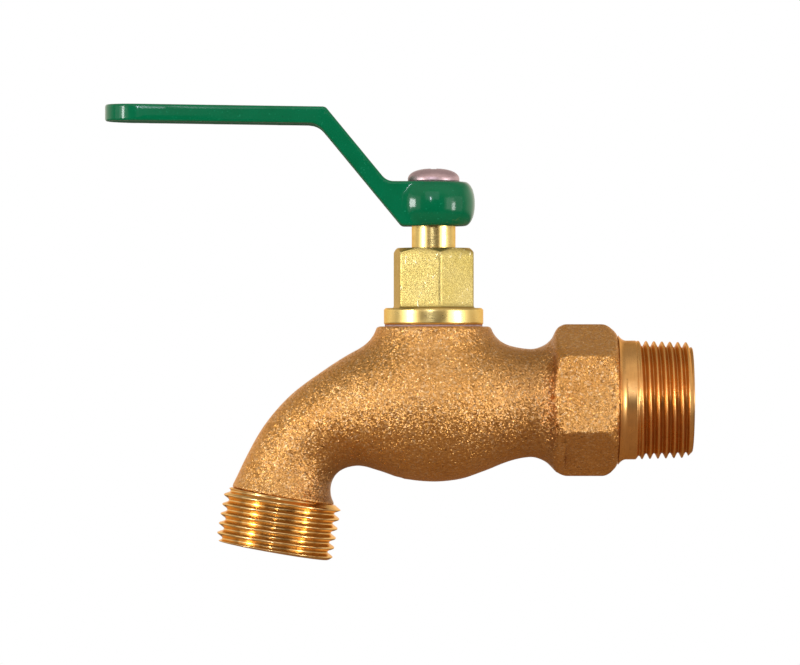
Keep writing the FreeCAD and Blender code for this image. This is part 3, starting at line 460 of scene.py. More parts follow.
# %% A small kit for recipes
class Recipe:
    """One material under construction. Values may be numbers or the outputs of earlier steps."""

    def __init__(self, name, **fixed):
        self.material = bpy.data.materials.new(name)
        self.material.use_nodes = True
        self.nodes = self.material.node_tree.nodes
        self.links = self.material.node_tree.links
        self.shader = self.nodes["Principled BSDF"]
        for label, value in fixed.items():
            self.shader.inputs[label.replace("_", " ")].default_value = value
        self.coordinates = self.nodes.new("ShaderNodeTexCoord").outputs["Object"]

    def put(self, socket, value):
        if isinstance(value, bpy.types.NodeSocket):
            self.links.new(value, socket)
        elif isinstance(value, tuple) and len(value) == 3 and socket.type == "RGBA":
            socket.default_value = (*value, 1)
        else:
            socket.default_value = value

    def step(self, kind, inputs, output=0, **settings):
        node = self.nodes.new(kind)
        for label, value in settings.items():
            setattr(node, label, value)
        for label, value in inputs.items():
            self.put(node.inputs[label], value)
        return node.outputs[output]

    def placed(self, scale=(1, 1, 1), turn=(0, 0, 0), move=(0, 0, 0)):
        """Coordinates in millimetres, stretched, turned or moved."""
        size = tuple(1000 * s for s in scale)
        inputs = {"Vector": self.coordinates, "Scale": size, "Rotation": turn, "Location": move}
        return self.step("ShaderNodeMapping", inputs)

    def noise(self, grain, detail=2.0, roughness=0.5, at=None, **more):
        """Cloudy noise whose lumps are about one grain wide, in millimetres."""
        inputs = {"Vector": at or self.placed(), "Scale": 1 / grain, "Detail": detail, "Roughness": roughness}
        return self.step("ShaderNodeTexNoise", {**inputs, **more})

    def cells(self, size, output, move=(0, 0, 0)):
        """Irregular grains about one size wide, in millimetres."""
        inputs = {"Vector": self.placed(move=move), "Scale": 1 / size}
        return self.step("ShaderNodeTexVoronoi", inputs, output)

    def maths(self, operation, a, b=0.0, c=0.0):
        return self.step("ShaderNodeMath", {0: a, 1: b, 2: c}, operation=operation)

    def vectors(self, operation, *values):
        return self.step("ShaderNodeVectorMath", dict(enumerate(values)), operation=operation)

    def ramp(self, value, low, high, to_low=0.0, to_high=1.0):
        inputs = {"Value": value, "From Min": low, "From Max": high, "To Min": to_low, "To Max": to_high}
        return self.step("ShaderNodeMapRange", inputs)

    def mix(self, share, a, b):
        return self.step("ShaderNodeMix", {0: share, 6: a, 7: b}, 2, data_type="RGBA")

    def bump(self, height, depth, strength=1.0, under=None):
        """Raises the surface by depth millimetres where height is one."""
        inputs = {"Height": height, "Distance": depth * MM, "Strength": strength}
        if under is not None:
            inputs["Normal"] = under
        return self.step("ShaderNodeBump", inputs)

    def facets(self, *grains):
        """A normal that leans its own way in every grain; grains are pairs of size and lean."""
        normal = self.step("ShaderNodeNewGeometry", {}, "Normal")
        for size, lean in grains:
            random = self.cells(size, "Color", move=(0, 0, lean))
            normal = self.vectors("MULTIPLY_ADD", random, (lean,) * 3, normal)
            normal = self.vectors("SUBTRACT", normal, (lean / 2,) * 3)
        return self.vectors("NORMALIZE", normal)

    def attribute(self, name):
        return self.step("ShaderNodeAttribute", {}, "Fac", attribute_name=name)

    def edges(self, low, high):
        """One where the mesh is convex, zero where it is hollow."""
        return self.ramp(self.step("ShaderNodeNewGeometry", {}, "Pointiness"), low, high)

    def finish(self, **sockets):
        for label, value in sockets.items():
            self.put(self.shader.inputs[label.replace("_", " ")], value)
        return self.material


print("recipe steps:", ", ".join(name for name in vars(Recipe) if not name.startswith("_")))

# %% [markdown]
# Sand leaves grains of half a millimetre on the casting, and each grain's face leans its own way. So every
# grain gets a normal of its own, and a lamp lights some and misses others. Some grains are darker at random,
# and the paler grains are partly random tone and partly painted glints. The metal is warmer in patches, and
# pits hold dirt. Hollows, such as the one under the spout, are painted darker brown from ambient occlusion:
# this is painted shade. Bare bronze tints all that it reflects, so a thin clear coat with the same leaning
# normals gives the palest glints.

# %% Sand-cast bronze
RED_BRONZE, YELLOW_BRONZE = (0.68, 0.330, 0.080), (0.73, 0.385, 0.115)
# The pale grain colour is partly random tone and partly a painted glint.
DARK_GRAIN, PALE_GRAIN_AND_GLINT = (0.50, 0.200, 0.050), (0.98, 0.80, 0.52)
# DIRT is for the pits; the second colour is the brown of the painted shade in the hollows.
DIRT, HOLLOW_SHADE_BROWN = (0.20, 0.08, 0.02), (0.20, 0.085, 0.035)
HOLLOW_SHADE_REACH = 20 * MM
cast = Recipe("cast_bronze", Metallic=0.96, Specular_Tint=(1.0, 0.70, 0.42, 1))
patches = cast.noise(9.0, 2.0)
wave = cast.noise(2.6, 2.0)
fine = cast.noise(0.45, 3.0, 0.65, at=cast.placed(move=(7, 3, 1)))
pits = cast.noise(1.7, 2.0, 0.7, at=cast.placed(move=(3, 9, 4)))
grain = cast.cells(0.5, "Distance")
tone = cast.step("ShaderNodeSeparateColor", {0: cast.cells(0.42, "Color", move=(2, 2, 2))}, "Red")
# Ambient occlusion finds the hollows, which are then painted darker: painted shade.
painted_hollow_shade = cast.step(
    "ShaderNodeAmbientOcclusion", {"Distance": HOLLOW_SHADE_REACH}, "AO", samples=8, only_local=True
)

metal = cast.mix(cast.ramp(patches, 0.3, 0.7), RED_BRONZE, YELLOW_BRONZE)
metal = cast.mix(cast.ramp(tone, 0.0, 0.55, 0.28, 0.0), metal, DARK_GRAIN)
# Random pale grains: partly real tone, partly painted glints.
metal = cast.mix(cast.ramp(tone, 0.75, 1.0, 0.0, 0.34), metal, PALE_GRAIN_AND_GLINT)
metal = cast.mix(cast.ramp(pits, 0.66, 0.74, 0.0, 0.6), metal, DIRT)
# Painted shade: the hollows are mixed towards a dark brown.
metal = cast.mix(cast.ramp(painted_hollow_shade, 0.70, 1.0, 1.0, 0.0), metal, HOLLOW_SHADE_BROWN)
height = cast.maths("MULTIPLY_ADD", fine, 1.2, cast.maths("MULTIPLY", wave, 1.4))
height = cast.maths("SUBTRACT", height, cast.maths("MULTIPLY", grain, grain))
height = cast.maths("SUBTRACT", height, cast.ramp(pits, 0.62, 0.74))
glitter = cast.facets((0.42, 0.46), (0.22, 0.44))
cast_bronze = cast.finish(
    Base_Color=metal,
    Roughness=cast.ramp(fine, 0.40, 0.62, 0.40, 0.27),
    Normal=cast.bump(height, 0.10, under=glitter),
    Coat_Weight=0.3,
    Coat_Roughness=0.22,
    Coat_Normal=glitter,
)
print("cast bronze:", len(cast.nodes), "nodes")

# %% [markdown]
# Turned metal: the tool leaves rings finer than the eye separates, so the grain is squeezed along the axis
# of the lathe. The threads carry a record of how deep each point lies in its groove, and the colour is darker
# towards the roots of the groove than on the crests.

# %% Turned bronze for the threads, and turned brass
WARM_RIM = (1.0, 0.74, 0.46, 1)
ALONG_X, ALONG_Z = (3, 0.15, 0.15), (0.15, 0.15, 3)
UPRIGHT = (0, 0, 0)
SPOUT_TURN = (0, math.radians(90 - OUTLET_ANGLE), 0)


def turned_metal(name, bright, stain, squeeze, turn, roughness, groove=None):
    lathe = Recipe(name, Metallic=1.0, Specular_Tint=WARM_RIM)
    rings = lathe.noise(0.5, 2.0, 0.6, at=lathe.placed(scale=squeeze, turn=turn))
    cloud = lathe.noise(3.5, 3.0, 0.6)
    dots = lathe.noise(0.55, 2.0, 0.6, at=lathe.placed(move=(5, 2, 8)))
    metal = lathe.mix(lathe.ramp(cloud, 0.35, 0.7, 0.0, 0.45), bright, stain)
    metal = lathe.mix(lathe.ramp(rings, 0.35, 0.65, 0.0, 0.22), metal, stain)
    metal = lathe.mix(lathe.ramp(dots, 0.66, 0.74, 0.0, 0.5), metal, tuple(0.3 * c for c in stain))
    if groove:
        # Darker towards the roots of the groove than on the crests.
        metal = lathe.mix(lathe.ramp(lathe.attribute("groove"), 0.25, 0.95, 0.0, groove), metal, stain)
    height = lathe.maths("ADD", rings, lathe.maths("MULTIPLY", dots, 0.4))
    return lathe.finish(
        Base_Color=metal,
        Roughness=lathe.ramp(cloud, 0.3, 0.7, roughness - 0.05, roughness + 0.08),
        Normal=lathe.bump(height, 0.02, 0.5),
    )


pipe_bronze = turned_metal(
    "pipe_thread_bronze", (0.90, 0.50, 0.17), (0.52, 0.26, 0.09), ALONG_X, UPRIGHT,
    roughness=0.30, groove=0.6,
)
hose_bronze = turned_metal(
    "hose_thread_bronze", (0.93, 0.66, 0.31), (0.62, 0.36, 0.12), ALONG_Z, SPOUT_TURN,
    roughness=0.17, groove=0.45,
)
brass = turned_metal(
    "turned_brass", (0.90, 0.69, 0.26), (0.70, 0.47, 0.13), ALONG_Z, UPRIGHT,
    roughness=0.29,
)
print("turned:", ", ".join(material.name for material in (pipe_bronze, hose_bronze, brass)))

# %% [markdown]
# The bonnet's hexagon is left as the bar came: slightly frosted, with small nicks from a wrench. Its edges
# are painted brighter, partly as wear from rubbing and partly as a painted highlight. Its flange and the stem
# are turned bright.

# %% Frosted bar brass
FROST, NICK, RUBBED_EDGE_AND_HIGHLIGHT = (0.46, 0.31, 0.06), (1.0, 0.92, 0.66), (0.98, 0.86, 0.50)
bar = Recipe("bar_brass", Metallic=0.95, Specular_Tint=WARM_RIM)
frost = bar.noise(0.32, 3.0, 0.65)
nicks = bar.noise(0.625, 1.0, at=bar.placed(scale=(1, 1, 0.35), turn=(0.3, 0.5, 0)), Distortion=0.6)
drift = bar.noise(6.0, 2.0)
metal = bar.mix(bar.ramp(drift, 0.3, 0.7), (0.48, 0.385, 0.12), (0.55, 0.45, 0.175))
metal = bar.mix(bar.ramp(frost, 0.38, 0.62, 0.36, 0.0), metal, FROST)
metal = bar.mix(bar.ramp(nicks, 0.70, 0.76, 0.0, 0.8), metal, NICK)
# Convex edges painted brighter: partly wear, partly a painted highlight.
metal = bar.mix(bar.edges(0.53, 0.60), metal, RUBBED_EDGE_AND_HIGHLIGHT)
height = bar.maths("ADD", frost, bar.ramp(nicks, 0.68, 0.78, 0.0, 0.8))
bar_brass = bar.finish(
    Base_Color=metal,
    Roughness=bar.ramp(frost, 0.3, 0.7, 0.46, 0.34),
    Normal=bar.bump(height, 0.05, 0.7, under=bar.facets((0.30, 0.05), (0.15, 0.08))),
)
print("bar brass:", len(bar.nodes), "nodes")

# %% [markdown]
# Enamel is thick, glossy paint. It follows the metal below in soft waves and holds a few specks of dust. The
# gloss is the shader's own coat. It grows towards the rounded edges, which makes them pale, and stops short
# of the flattest glance, where it would draw a white line along the underside of the arm.

# %% Green enamel
LIGHT_SPECK, DARK_SPECK = (0.02, 0.30, 0.15), (0.0, 0.065, 0.028)
enamel = Recipe("green_enamel", Coat_Roughness=0.12, Specular_IOR_Level=0.0)
glance = enamel.step("ShaderNodeLayerWeight", {"Blend": 0.5}, "Facing")
cloud = enamel.noise(7.0, 3.0)
dust = enamel.noise(0.45, 2.0, 0.6)
paint = enamel.mix(enamel.ramp(cloud, 0.3, 0.7), (0.000, 0.116, 0.042), (0.000, 0.134, 0.052))
paint = enamel.mix(enamel.ramp(dust, 0.66, 0.76, 0.0, 0.7), paint, LIGHT_SPECK)
paint = enamel.mix(enamel.ramp(dust, 0.34, 0.26, 0.0, 0.6), paint, DARK_SPECK)
towards_edge = enamel.ramp(glance, 0.35, 0.70, 0.5, 1.0)
short_of_rim = enamel.ramp(glance, 0.90, 0.95, 1.0, 0.05)
green_enamel = enamel.finish(
    Base_Color=paint,
    Roughness=enamel.ramp(cloud, 0.3, 0.7, 0.24, 0.34),
    Normal=enamel.bump(enamel.maths("ADD", enamel.maths("MULTIPLY", cloud, 2.0), dust), 0.012, 0.25),
    Coat_Weight=enamel.maths("MULTIPLY", towards_edge, short_of_rim),
)
print("green enamel:", len(enamel.nodes), "nodes")

# %% [markdown]
# The pieces that hardly show still get a true finish: stainless steel, pressed fibre, white ceramic,
# black rubber, milky plastic and spring bronze. Each is one colour pair, one grain and one bump.


# %% The small finishes
def plain_finish(name, light, dark, grain, roughness, depth, **fixed):
    recipe = Recipe(name, **fixed)
    cloud = recipe.noise(grain, 3.0, 0.6)
    broad = recipe.noise(grain * 8, 2.0)
    both = recipe.maths("MULTIPLY", recipe.maths("ADD", cloud, broad), 0.5)
    return recipe.finish(
        Base_Color=recipe.mix(recipe.ramp(both, 0.38, 0.62), dark, light),
        Roughness=recipe.ramp(cloud, 0.3, 0.7, roughness - 0.05, roughness + 0.07),
        Normal=recipe.bump(cloud, depth, 0.5),
    )


stainless = plain_finish(
    "stainless_steel", (0.62, 0.45, 0.475), (0.54, 0.39, 0.41), 0.5, 0.42, 0.02, Metallic=0.9
)
fibre = plain_finish("gasket_fibre", (0.44, 0.33, 0.31), (0.30, 0.20, 0.18), 0.4, 0.85, 0.05)
ceramic = plain_finish("white_ceramic", (0.82, 0.81, 0.78), (0.76, 0.75, 0.71), 1.5, 0.18, 0.005)
rubber = plain_finish("black_rubber", (0.030, 0.030, 0.032), (0.016, 0.016, 0.018), 0.6, 0.6, 0.02)
plastic = plain_finish("low_friction_plastic", (0.80, 0.80, 0.76), (0.70, 0.70, 0.66), 1.2, 0.4, 0.01)
spring = plain_finish("spring_bronze", (0.62, 0.40, 0.17), (0.42, 0.24, 0.09), 0.5, 0.32, 0.02, Metallic=1.0)
print("finishes:", len(bpy.data.materials))

# %% [markdown]
# ## Both threads
# A thread is one groove that winds round a blank. It could be a screw modifier, but then the taper, the
# chamfer and the run-out would each need a repair by hand. Here Geometry Nodes bend a plain grid: one side
# of the grid goes round, the other goes along, and arithmetic gives every point its radius. The first and
# last columns and rows meet and are merged, so the sleeve is closed. The same tree makes the taper pipe
# thread with its land and the coarser hose thread. Arithmetic in a tree takes a maths node for every sign,
# so a small class lays them, and the rule reads as it would on paper.


# %% Numbers that lay their own nodes
class Number:
    """The output of a node in a tree. A plus, a minus, a times or an over lays the next maths node."""

    def __init__(self, socket):
        self.socket = socket

    def __add__(self, other):
        return lay("ADD", self, other)

    def __sub__(self, other):
        return lay("SUBTRACT", self, other)

    def __rsub__(self, other):
        return lay("SUBTRACT", other, self)

    def __mul__(self, other):
        return lay("MULTIPLY", self, other)

    def __truediv__(self, other):
        return lay("DIVIDE", self, other)

    def clamped(self):
        """Never under zero and never over one."""
        return lay("MINIMUM", lay("MAXIMUM", self, 0.0), 1.0)


def lay(operation, *values):
    """One maths node, in the tree of the first Number among its values."""
    tree = next(value.socket.id_data for value in values if isinstance(value, Number))
    node = tree.nodes.new("ShaderNodeMath")
    node.operation = operation
    for place, value in zip(node.inputs, values):
        if isinstance(value, Number):
            tree.links.new(value.socket, place)
        else:
            place.default_value = value
    return Number(node.outputs[0])


print("signs that lay a node: + - * /")

# %% [markdown]
# The groove is a wave along the axis that also shifts by one pitch in each turn. Its flanks are a little
# rounded, as a die leaves them. The blank under it has a chamfer at the open end. At the other end the pipe
# thread's land has an eased corner, and the hose thread starts on a cone.


# %% The groove and the blank
THREAD_INPUTS = {
    "Crest radius": 13.3, "Taper": 0.0, "Length": 13.0, "Plain": 0.0,
    "Pitch": 1.8, "Depth": 1.2, "Crest": 0.12, "Root": 0.1, "Phase": 0.0, "Fade": 1.0,
    "End chamfer": 1.0, "Start radius": 50.0, "Start slope": 0.0, "Fillet rise": 0.0, "Fillet run": 1.0,
    "Bore": 8.0, "Bore bevel": 0.5,
}


def groove_depth(turn, cut, size):
    """Zero on a crest and one at a root. It fades in at the end of the plain part."""
    phase = lay("FRACT", cut / size["Pitch"] + size["Phase"] - turn)
    wave = lay("ABSOLUTE", phase * 2.0 - 1.0)
    straight = ((wave - size["Crest"]) / (1.0 - (size["Crest"] + size["Root"]))).clamped()
    eased = straight * straight * (3.0 - straight * 2.0)
    return (straight + eased) * 0.5 * (cut / size["Fade"]).clamped()


def skin_radius(up, cut, depth, size):
    """Radius of the tapered blank with its groove, its chamfer and its cone or eased corner."""
    drop = lay("MAXIMUM", cut, 0.0) * size["Taper"]
    radius = size["Crest radius"] - drop - depth * size["Depth"]
    full_drop = (size["Length"] - size["Plain"]) * size["Taper"]
    end_radius = size["Crest radius"] - full_drop - size["End chamfer"]
    radius = lay("MINIMUM", radius, end_radius + (size["Length"] - up))
    radius = lay("MINIMUM", radius, size["Start radius"] + up * size["Start slope"])
    corner = (1.0 - up / size["Fillet run"]).clamped()
    return radius + corner * corner * size["Fillet rise"]


print("thread sizes:", ", ".join(THREAD_INPUTS))

# %% [markdown]
# The tree itself lays the grid, gives each point its turn and its row, bends the grid to the radius and
# closes it. The last three rows go in over the bevel and back along the bore to the first one.

# %% The thread tree
SAME_ROW = 0.4


def tree_with_sockets():
    tree = bpy.data.node_groups.new("turned thread", "GeometryNodeTree")
    for name, value in THREAD_INPUTS.items():
        socket = tree.interface.new_socket(name=name, in_out="INPUT", socket_type="NodeSocketFloat")
        socket.default_value = value
    tree.interface.new_socket(name="Material", in_out="INPUT", socket_type="NodeSocketMaterial")
    tree.interface.new_socket(name="Thread", in_out="OUTPUT", socket_type="NodeSocketGeometry")
    return tree


def thread_tree(around, along):
    """Tree for a sleeve whose skin has so many points round it and so many rows along it."""
    tree = tree_with_sockets()
    given = tree.nodes.new("NodeGroupInput").outputs
    size = {name: Number(given[name]) for name in THREAD_INPUTS}
    bevel_row, bore_row, last_row = along + 1, along + 2, along + 3
    grid = tree.nodes.new("GeometryNodeMeshGrid")
    sides = {"Size X": 1.0, "Size Y": 1.0, "Vertices X": around + 1, "Vertices Y": last_row + 1}
    for label, value in sides.items():
        grid.inputs[label].default_value = value
    spread = tree.nodes.new("ShaderNodeSeparateXYZ")
    tree.links.new(tree.nodes.new("GeometryNodeInputPosition").outputs[0], spread.inputs[0])
    turn = Number(spread.outputs["X"]) + 0.5
    row = lay("ROUND", (Number(spread.outputs["Y"]) + 0.5) * last_row)
    up = ((row - 1.0) / (along - 1)).clamped() * size["Length"]
    cut = up - size["Plain"]
    depth = groove_depth(turn, cut, size)
    radius = skin_radius(up, cut, depth, size)

    in_bevel = lay("COMPARE", row, bevel_row, SAME_ROW)
    in_bore = lay("GREATER_THAN", row, bevel_row + 0.5)
    at_start = lay("LESS_THAN", row, 0.5) + lay("GREATER_THAN", row, last_row - 0.5)
    inside = (in_bevel + in_bore + at_start).clamped()
    bore = size["Bore"] + size["Bore bevel"] * in_bevel
    radius = radius * (1.0 - inside) + bore * inside
    up = (up - size["Bore bevel"] * lay("COMPARE", row, bore_row, SAME_ROW)) * (1.0 - at_start)

    angle = turn * (2 * math.pi)
    place = tree.nodes.new("ShaderNodeCombineXYZ")
    for number, socket in zip((radius * lay("COSINE", angle), radius * lay("SINE", angle), up), place.inputs):
        tree.links.new(number.socket, socket)
    record = tree.nodes.new("GeometryNodeStoreNamedAttribute")
    record.inputs["Name"].default_value = "groove"
    tree.links.new(grid.outputs["Mesh"], record.inputs["Geometry"])
    tree.links.new(depth.socket, record.inputs["Value"])
    bent = tree.nodes.new("GeometryNodeSetPosition")
    tree.links.new(record.outputs[0], bent.inputs["Geometry"])
    tree.links.new(place.outputs[0], bent.inputs["Position"])
    shape = bent.outputs[0]
    for kind in ("MergeByDistance", "SetShadeSmooth", "RealizeInstances", "SetMaterial"):
        node = tree.nodes.new("GeometryNode" + kind)
        tree.links.new(shape, node.inputs[0])
        shape = node.outputs[0]
    tree.links.new(given["Material"], node.inputs["Material"])
    tree.links.new(shape, tree.nodes.new("NodeGroupOutput").inputs[0])
    return tree


# %% [markdown]
# A 3/4 inch pipe thread has 14 threads to the inch on a taper of 1 in 16, and a garden hose thread has 11.5
# on a straight blank. The pipe thread starts after a plain land. Its modifier is given the sizes by each
# socket's identifier, and the finished plain mesh is then stood on its place.


# %% Cut the two threads
def cut_thread(name, place, around, along, finish, **sizes):
    """Runs the tree on an empty mesh, keeps the plain mesh and stands it on its place."""
    piece = new_object(name, bpy.data.meshes.new(name))
    tree = thread_tree(around, along)
    step = piece.modifiers.new("thread", "NODES")
    step.node_group = tree
    sockets = {item.name: item.identifier for item in tree.interface.items_tree if item.in_out == "INPUT"}
    for label, value in sizes.items():
        step[sockets[label.replace("_", " ").capitalize()]] = float(value)
    step[sockets["Material"]] = finish
    keep_result(piece, step)
    piece.data.transform(Matrix.Scale(MM, 4) @ place)
    outward(piece)
    print(name, len(piece.data.polygons), "faces from", len(tree.nodes), "nodes")
    return piece


INCH = 25.4
pipe_thread = cut_thread(
    "pipe_thread", AT_PIPE, 144, 150, pipe_bronze,
    crest_radius=13.57, taper=1 / 32, length=-HEX_FACE, plain=3.9,
    pitch=INCH / 14, depth=1.25, crest=0.09, root=0.10, phase=0.38, fade=1.2,
    end_chamfer=1.3, fillet_rise=1.2, fillet_run=1.8, bore=BORE, bore_bevel=0.4,
)
hose_thread = cut_thread(
    "hose_thread", AT_COLLAR, 144, 120, hose_bronze,
    crest_radius=13.45, length=12.58, plain=-0.4,
    pitch=INCH / 11.5, depth=1.3, crest=0.10, root=0.14, phase=-0.3, fade=0.1,
    end_chamfer=0.72, start_radius=12.0, start_slope=1.6, bore=MOUTH, bore_bevel=0.8,
)

# %% [markdown]
# ## The bonnet
# The bonnet is milled from hexagonal brass bar: a round flange below, six flats above, and a crown turned
# on its top, which leaves a shallow arc on every flat. A hexagon with a bevel modifier would round all
# edges alike, so the skin is laid in rows round the axis instead, and each row may rise and fall with the
# angle. The arcs are then true cuts of a cone with a hexagon.


# %% A skin laid in rows
def skin_of_rows(name, rows):
    """Closed ring-shaped mesh through rows of points; the last row joins the first."""
    count = len(rows[0])
    faces = []
    for a in range(len(rows)):
        b = (a + 1) % len(rows)
        for s in range(count):
            t = (s + 1) % count
            faces.append((a * count + s, a * count + t, b * count + t, b * count + s))
    piece = mesh_piece(name, np.concatenate(rows) * MM, faces)
    outward(piece)
    return piece


# %% The bonnet's plan
FLAT = 8.5
CORNER = 9.76
HEX_TURN = math.radians(8.6)
side_steps = np.tan(np.radians(np.concatenate([[-29.75], np.linspace(-28.9, 28.9, 25), [29.75]])))
side_angles = np.arctan(side_steps)
around = np.concatenate([side_angles + math.radians(60 * side) for side in range(6)]) + HEX_TURN
hex_radius = np.minimum(np.tile(FLAT / np.cos(side_angles), 6), CORNER)
print("bonnet", 2 * FLAT, "mm over its flats,", len(around), "points to a row")

# %% Mill the bonnet
FLANGE_BASE, FLANGE_TOP, HEX_TOP = 17.2, 21.0, 34.7
FLANGE_RADIUS, FLANGE_EDGE, FLANGE_BEVEL = 11.35, 0.35, 0.25
FOOT_RISE = 0.45
CROWN_FLAT, CROWN_SLOPE = 8.2, 0.62
RECESS, RECESS_DEPTH, RECESS_BEVEL = 6.9, 2.2, 0.2
STEM_HOLE, HOLE_RIM = 5.05, 0.25
foot = FLANGE_TOP + FOOT_RISE
edge = HEX_TOP - (hex_radius - CROWN_FLAT) * CROWN_SLOPE
recess_floor = HEX_TOP - RECESS_DEPTH


def row(radius, height):
    radius, height = np.broadcast_to(radius, around.shape), np.broadcast_to(height, around.shape)
    return np.stack([STEM_X + radius * np.cos(around), radius * np.sin(around), height], 1)


skin = [(10.0, FLANGE_BASE), (FLANGE_RADIUS - FLANGE_BEVEL, FLANGE_BASE)]
skin += [(FLANGE_RADIUS, FLANGE_BASE + FLANGE_BEVEL)]
skin += [(FLANGE_RADIUS, level) for level in np.linspace(FLANGE_BASE + 0.6, FLANGE_TOP - 0.5, 6)]
for a in (0.3, 0.8, 1.2, 1.57):
    skin += [(FLANGE_RADIUS - FLANGE_EDGE * math.sin(a) ** 2, FLANGE_TOP - FLANGE_EDGE * math.cos(a))]
skin += [(hex_radius + 0.5, FLANGE_TOP), (hex_radius + 0.15, FLANGE_TOP + 0.1), (hex_radius, foot)]
skin += [(hex_radius, foot + (edge - 0.15 - foot) * t) for t in np.linspace(0.1, 1, 10)]
skin += [(hex_radius - 0.06, edge - 0.03), (hex_radius - 0.2, edge + 0.08)]
skin += [(hex_radius + (CROWN_FLAT - hex_radius) * t, edge + (HEX_TOP - edge) * t) for t in (0.4, 0.7, 1.0)]
skin += [(RECESS + RECESS_BEVEL, HEX_TOP), (RECESS, HEX_TOP - RECESS_BEVEL), (RECESS, recess_floor)]
skin += [(STEM_HOLE + HOLE_RIM, recess_floor), (STEM_HOLE, recess_floor - HOLE_RIM), (STEM_HOLE, FLANGE_BASE)]
bonnet = skin_of_rows("bonnet", [row(*level) for level in skin])
print("bonnet", len(bonnet.data.polygons), "faces")

# %% [markdown]
# Below its flange the bonnet goes on as a threaded barrel with two windows, inside the casting. The packed
# piece has that shape already, so a copy of it is cut off level with the underside of the flange.


# %% Keep the packed barrel
def copy_of_node(node, name):
    """Merged copy of a packed piece, so that a boolean finds one closed shell."""
    mesh = frame["nodes"][node].data.copy()
    mesh.name = name
    mesh.materials.clear()
    work = bmesh.new()
    work.from_mesh(mesh)
    bmesh.ops.remove_doubles(work, verts=work.verts, dist=1e-6)
    work.to_mesh(mesh)
    work.free()
    return new_object(name, mesh)


barrel = copy_of_node("cartridge_housing", "bonnet_barrel")
upper_half = Matrix.Translation((STEM_X, 0, FLANGE_BASE + 15))
machine(barrel, block("above_flange", (40, 40, 30), upper_half))
print("barrel", len(barrel.data.polygons), "faces")

# %% [markdown]
# ## The lever
# The lever is one casting dipped in enamel: a flat arm with a round end, a steep crank and a barrel-shaped
# boss. Enamel runs off every edge, so nothing on it is sharp. It is written as a distance rule like the
# body, with a finer grid, because its edges are smaller.

# %% The lever's side view
LEVER_BASE, LEVER_TOP = 39.7, 49.8
ARM_TOP, ARM_THICK, ARM_REACH, ARM_HALF = 66.7, 3.85, 75.0, 7.85
ARM_RISE, ARM_EDGE = 0.75, 0.6
BEND_REACH = 24.6
LEVER_EDGE, SIDE_EDGE = 0.5, 0.4
FOOT_BEND, UNDER_BEND = 1.3, 1.7
crank = math.radians(50.5)
sine, cosine = math.sin(crank), math.cos(crank)
foot_x = (ARM_TOP - LEVER_TOP) / math.tan(crank) - BEND_REACH
under_x = -(BEND_REACH + ARM_THICK * math.tan(crank / 2))
heel_x = under_x + (ARM_TOP - ARM_THICK - LEVER_BASE) / math.tan(crank)


def lever_side(x, z):
    """The lever seen from the side: the boss, the crank and the arm, which rises a little to its tip."""
    rise = ARM_RISE / (ARM_REACH - BEND_REACH) * (-BEND_REACH - x)
    crank_top = (x - foot_x) * sine + (z - LEVER_TOP) * cosine
    crank_under = -(x - heel_x) * sine - (z - LEVER_BASE) * cosine
    above = smooth_max(smooth_min(z - LEVER_TOP, crank_top, FOOT_BEND), z - ARM_TOP - rise, LEVER_EDGE)
    below = smooth_min(ARM_TOP - ARM_THICK + rise - z, crank_under, UNDER_BEND)
    return smooth_max(above, smooth_max(below, LEVER_BASE - z, LEVER_EDGE), SIDE_EDGE)


print("crank foot", round(foot_x, 2), "mm and heel", round(heel_x, 2), "mm from the stem")

# %% Cast the lever
LEVER_CELL = 0.22
HUB_RADIUS, HUB_SWELL, HUB_BLEND = 7.0, 2.4, 0.8
HUB_ROUNDING = 2.2
WAIST, WAIST_START, WAIST_RUN = 0.6, -26.0, 14.0
ARM_ROOT = 2.0
SQUARE = 7.6


def lever_rule(x, y, z):
    x = x - STEM_X
    side = lever_side(x, z)
    waist = WAIST * np.clip((x - WAIST_START) / WAIST_RUN, 0.0, 1.0)
    tip = np.hypot(np.minimum(x + ARM_REACH - ARM_HALF, 0.0), y) - (ARM_HALF - waist)
    arm = smooth_max(side, smooth_max(tip, x + ARM_ROOT, ARM_ROOT), ARM_EDGE)
    middle = (LEVER_BASE + LEVER_TOP) / 2
    share = np.clip(np.abs(z - middle) / (LEVER_TOP - middle), 0, 1)
    hub_wall = np.hypot(x, y) - (HUB_RADIUS + HUB_SWELL * np.sqrt(1 - share**HUB_ROUNDING))
    hub = np.maximum(hub_wall, np.abs(z - middle) - (LEVER_TOP - middle))
    return np.maximum(smooth_min(arm, hub, HUB_BLEND), side)


lever = solid_from_rule("lever_enamelled", lever_rule, (-136, -12, 37.5), (-47, 12, 70), LEVER_CELL, 0.01)
square_place = Matrix.Translation((STEM_X, 0, LEVER_TOP - 8))
machine(lever, block("square_hole", (SQUARE, SQUARE, 30), square_place))
shade_by_rule(lever, lever_rule)

# %% [markdown]
# ## The screw
# One stainless screw holds the lever: a low dome with a cross recess. The dome is turned, and the cross is
# cut by two crossed bars.

# %% Turn the screw and cut its cross
HEAD_RADIUS, HEAD_HEIGHT, HEAD_RIM = 5.9, 3.05, 0.45
SHANK, SHANK_LENGTH = 2.5, 10
DOME_POWER = 0.85
BAR_LONG, BAR_WIDE, BAR_DEEP = 5.4, 1.3, 3.2
rim_height, dome_height = LEVER_TOP + HEAD_RIM, HEAD_HEIGHT - HEAD_RIM
dome = [
    (HEAD_RADIUS * math.cos(a) ** DOME_POWER, rim_height + dome_height * math.sin(a) ** DOME_POWER)
    for a in np.radians([0, 6, 12, 20, 28, 36, 44, 52, 60, 68, 76, 84])
]
shank_end = LEVER_TOP - SHANK_LENGTH
screw_profile = [
    (0, shank_end), (SHANK - 0.4, shank_end), (SHANK, shank_end + 0.4), (SHANK, LEVER_TOP),
    (HEAD_RADIUS - 0.15, LEVER_TOP), (HEAD_RADIUS, LEVER_TOP + 0.12), *dome, (0, LEVER_TOP + HEAD_HEIGHT),
]
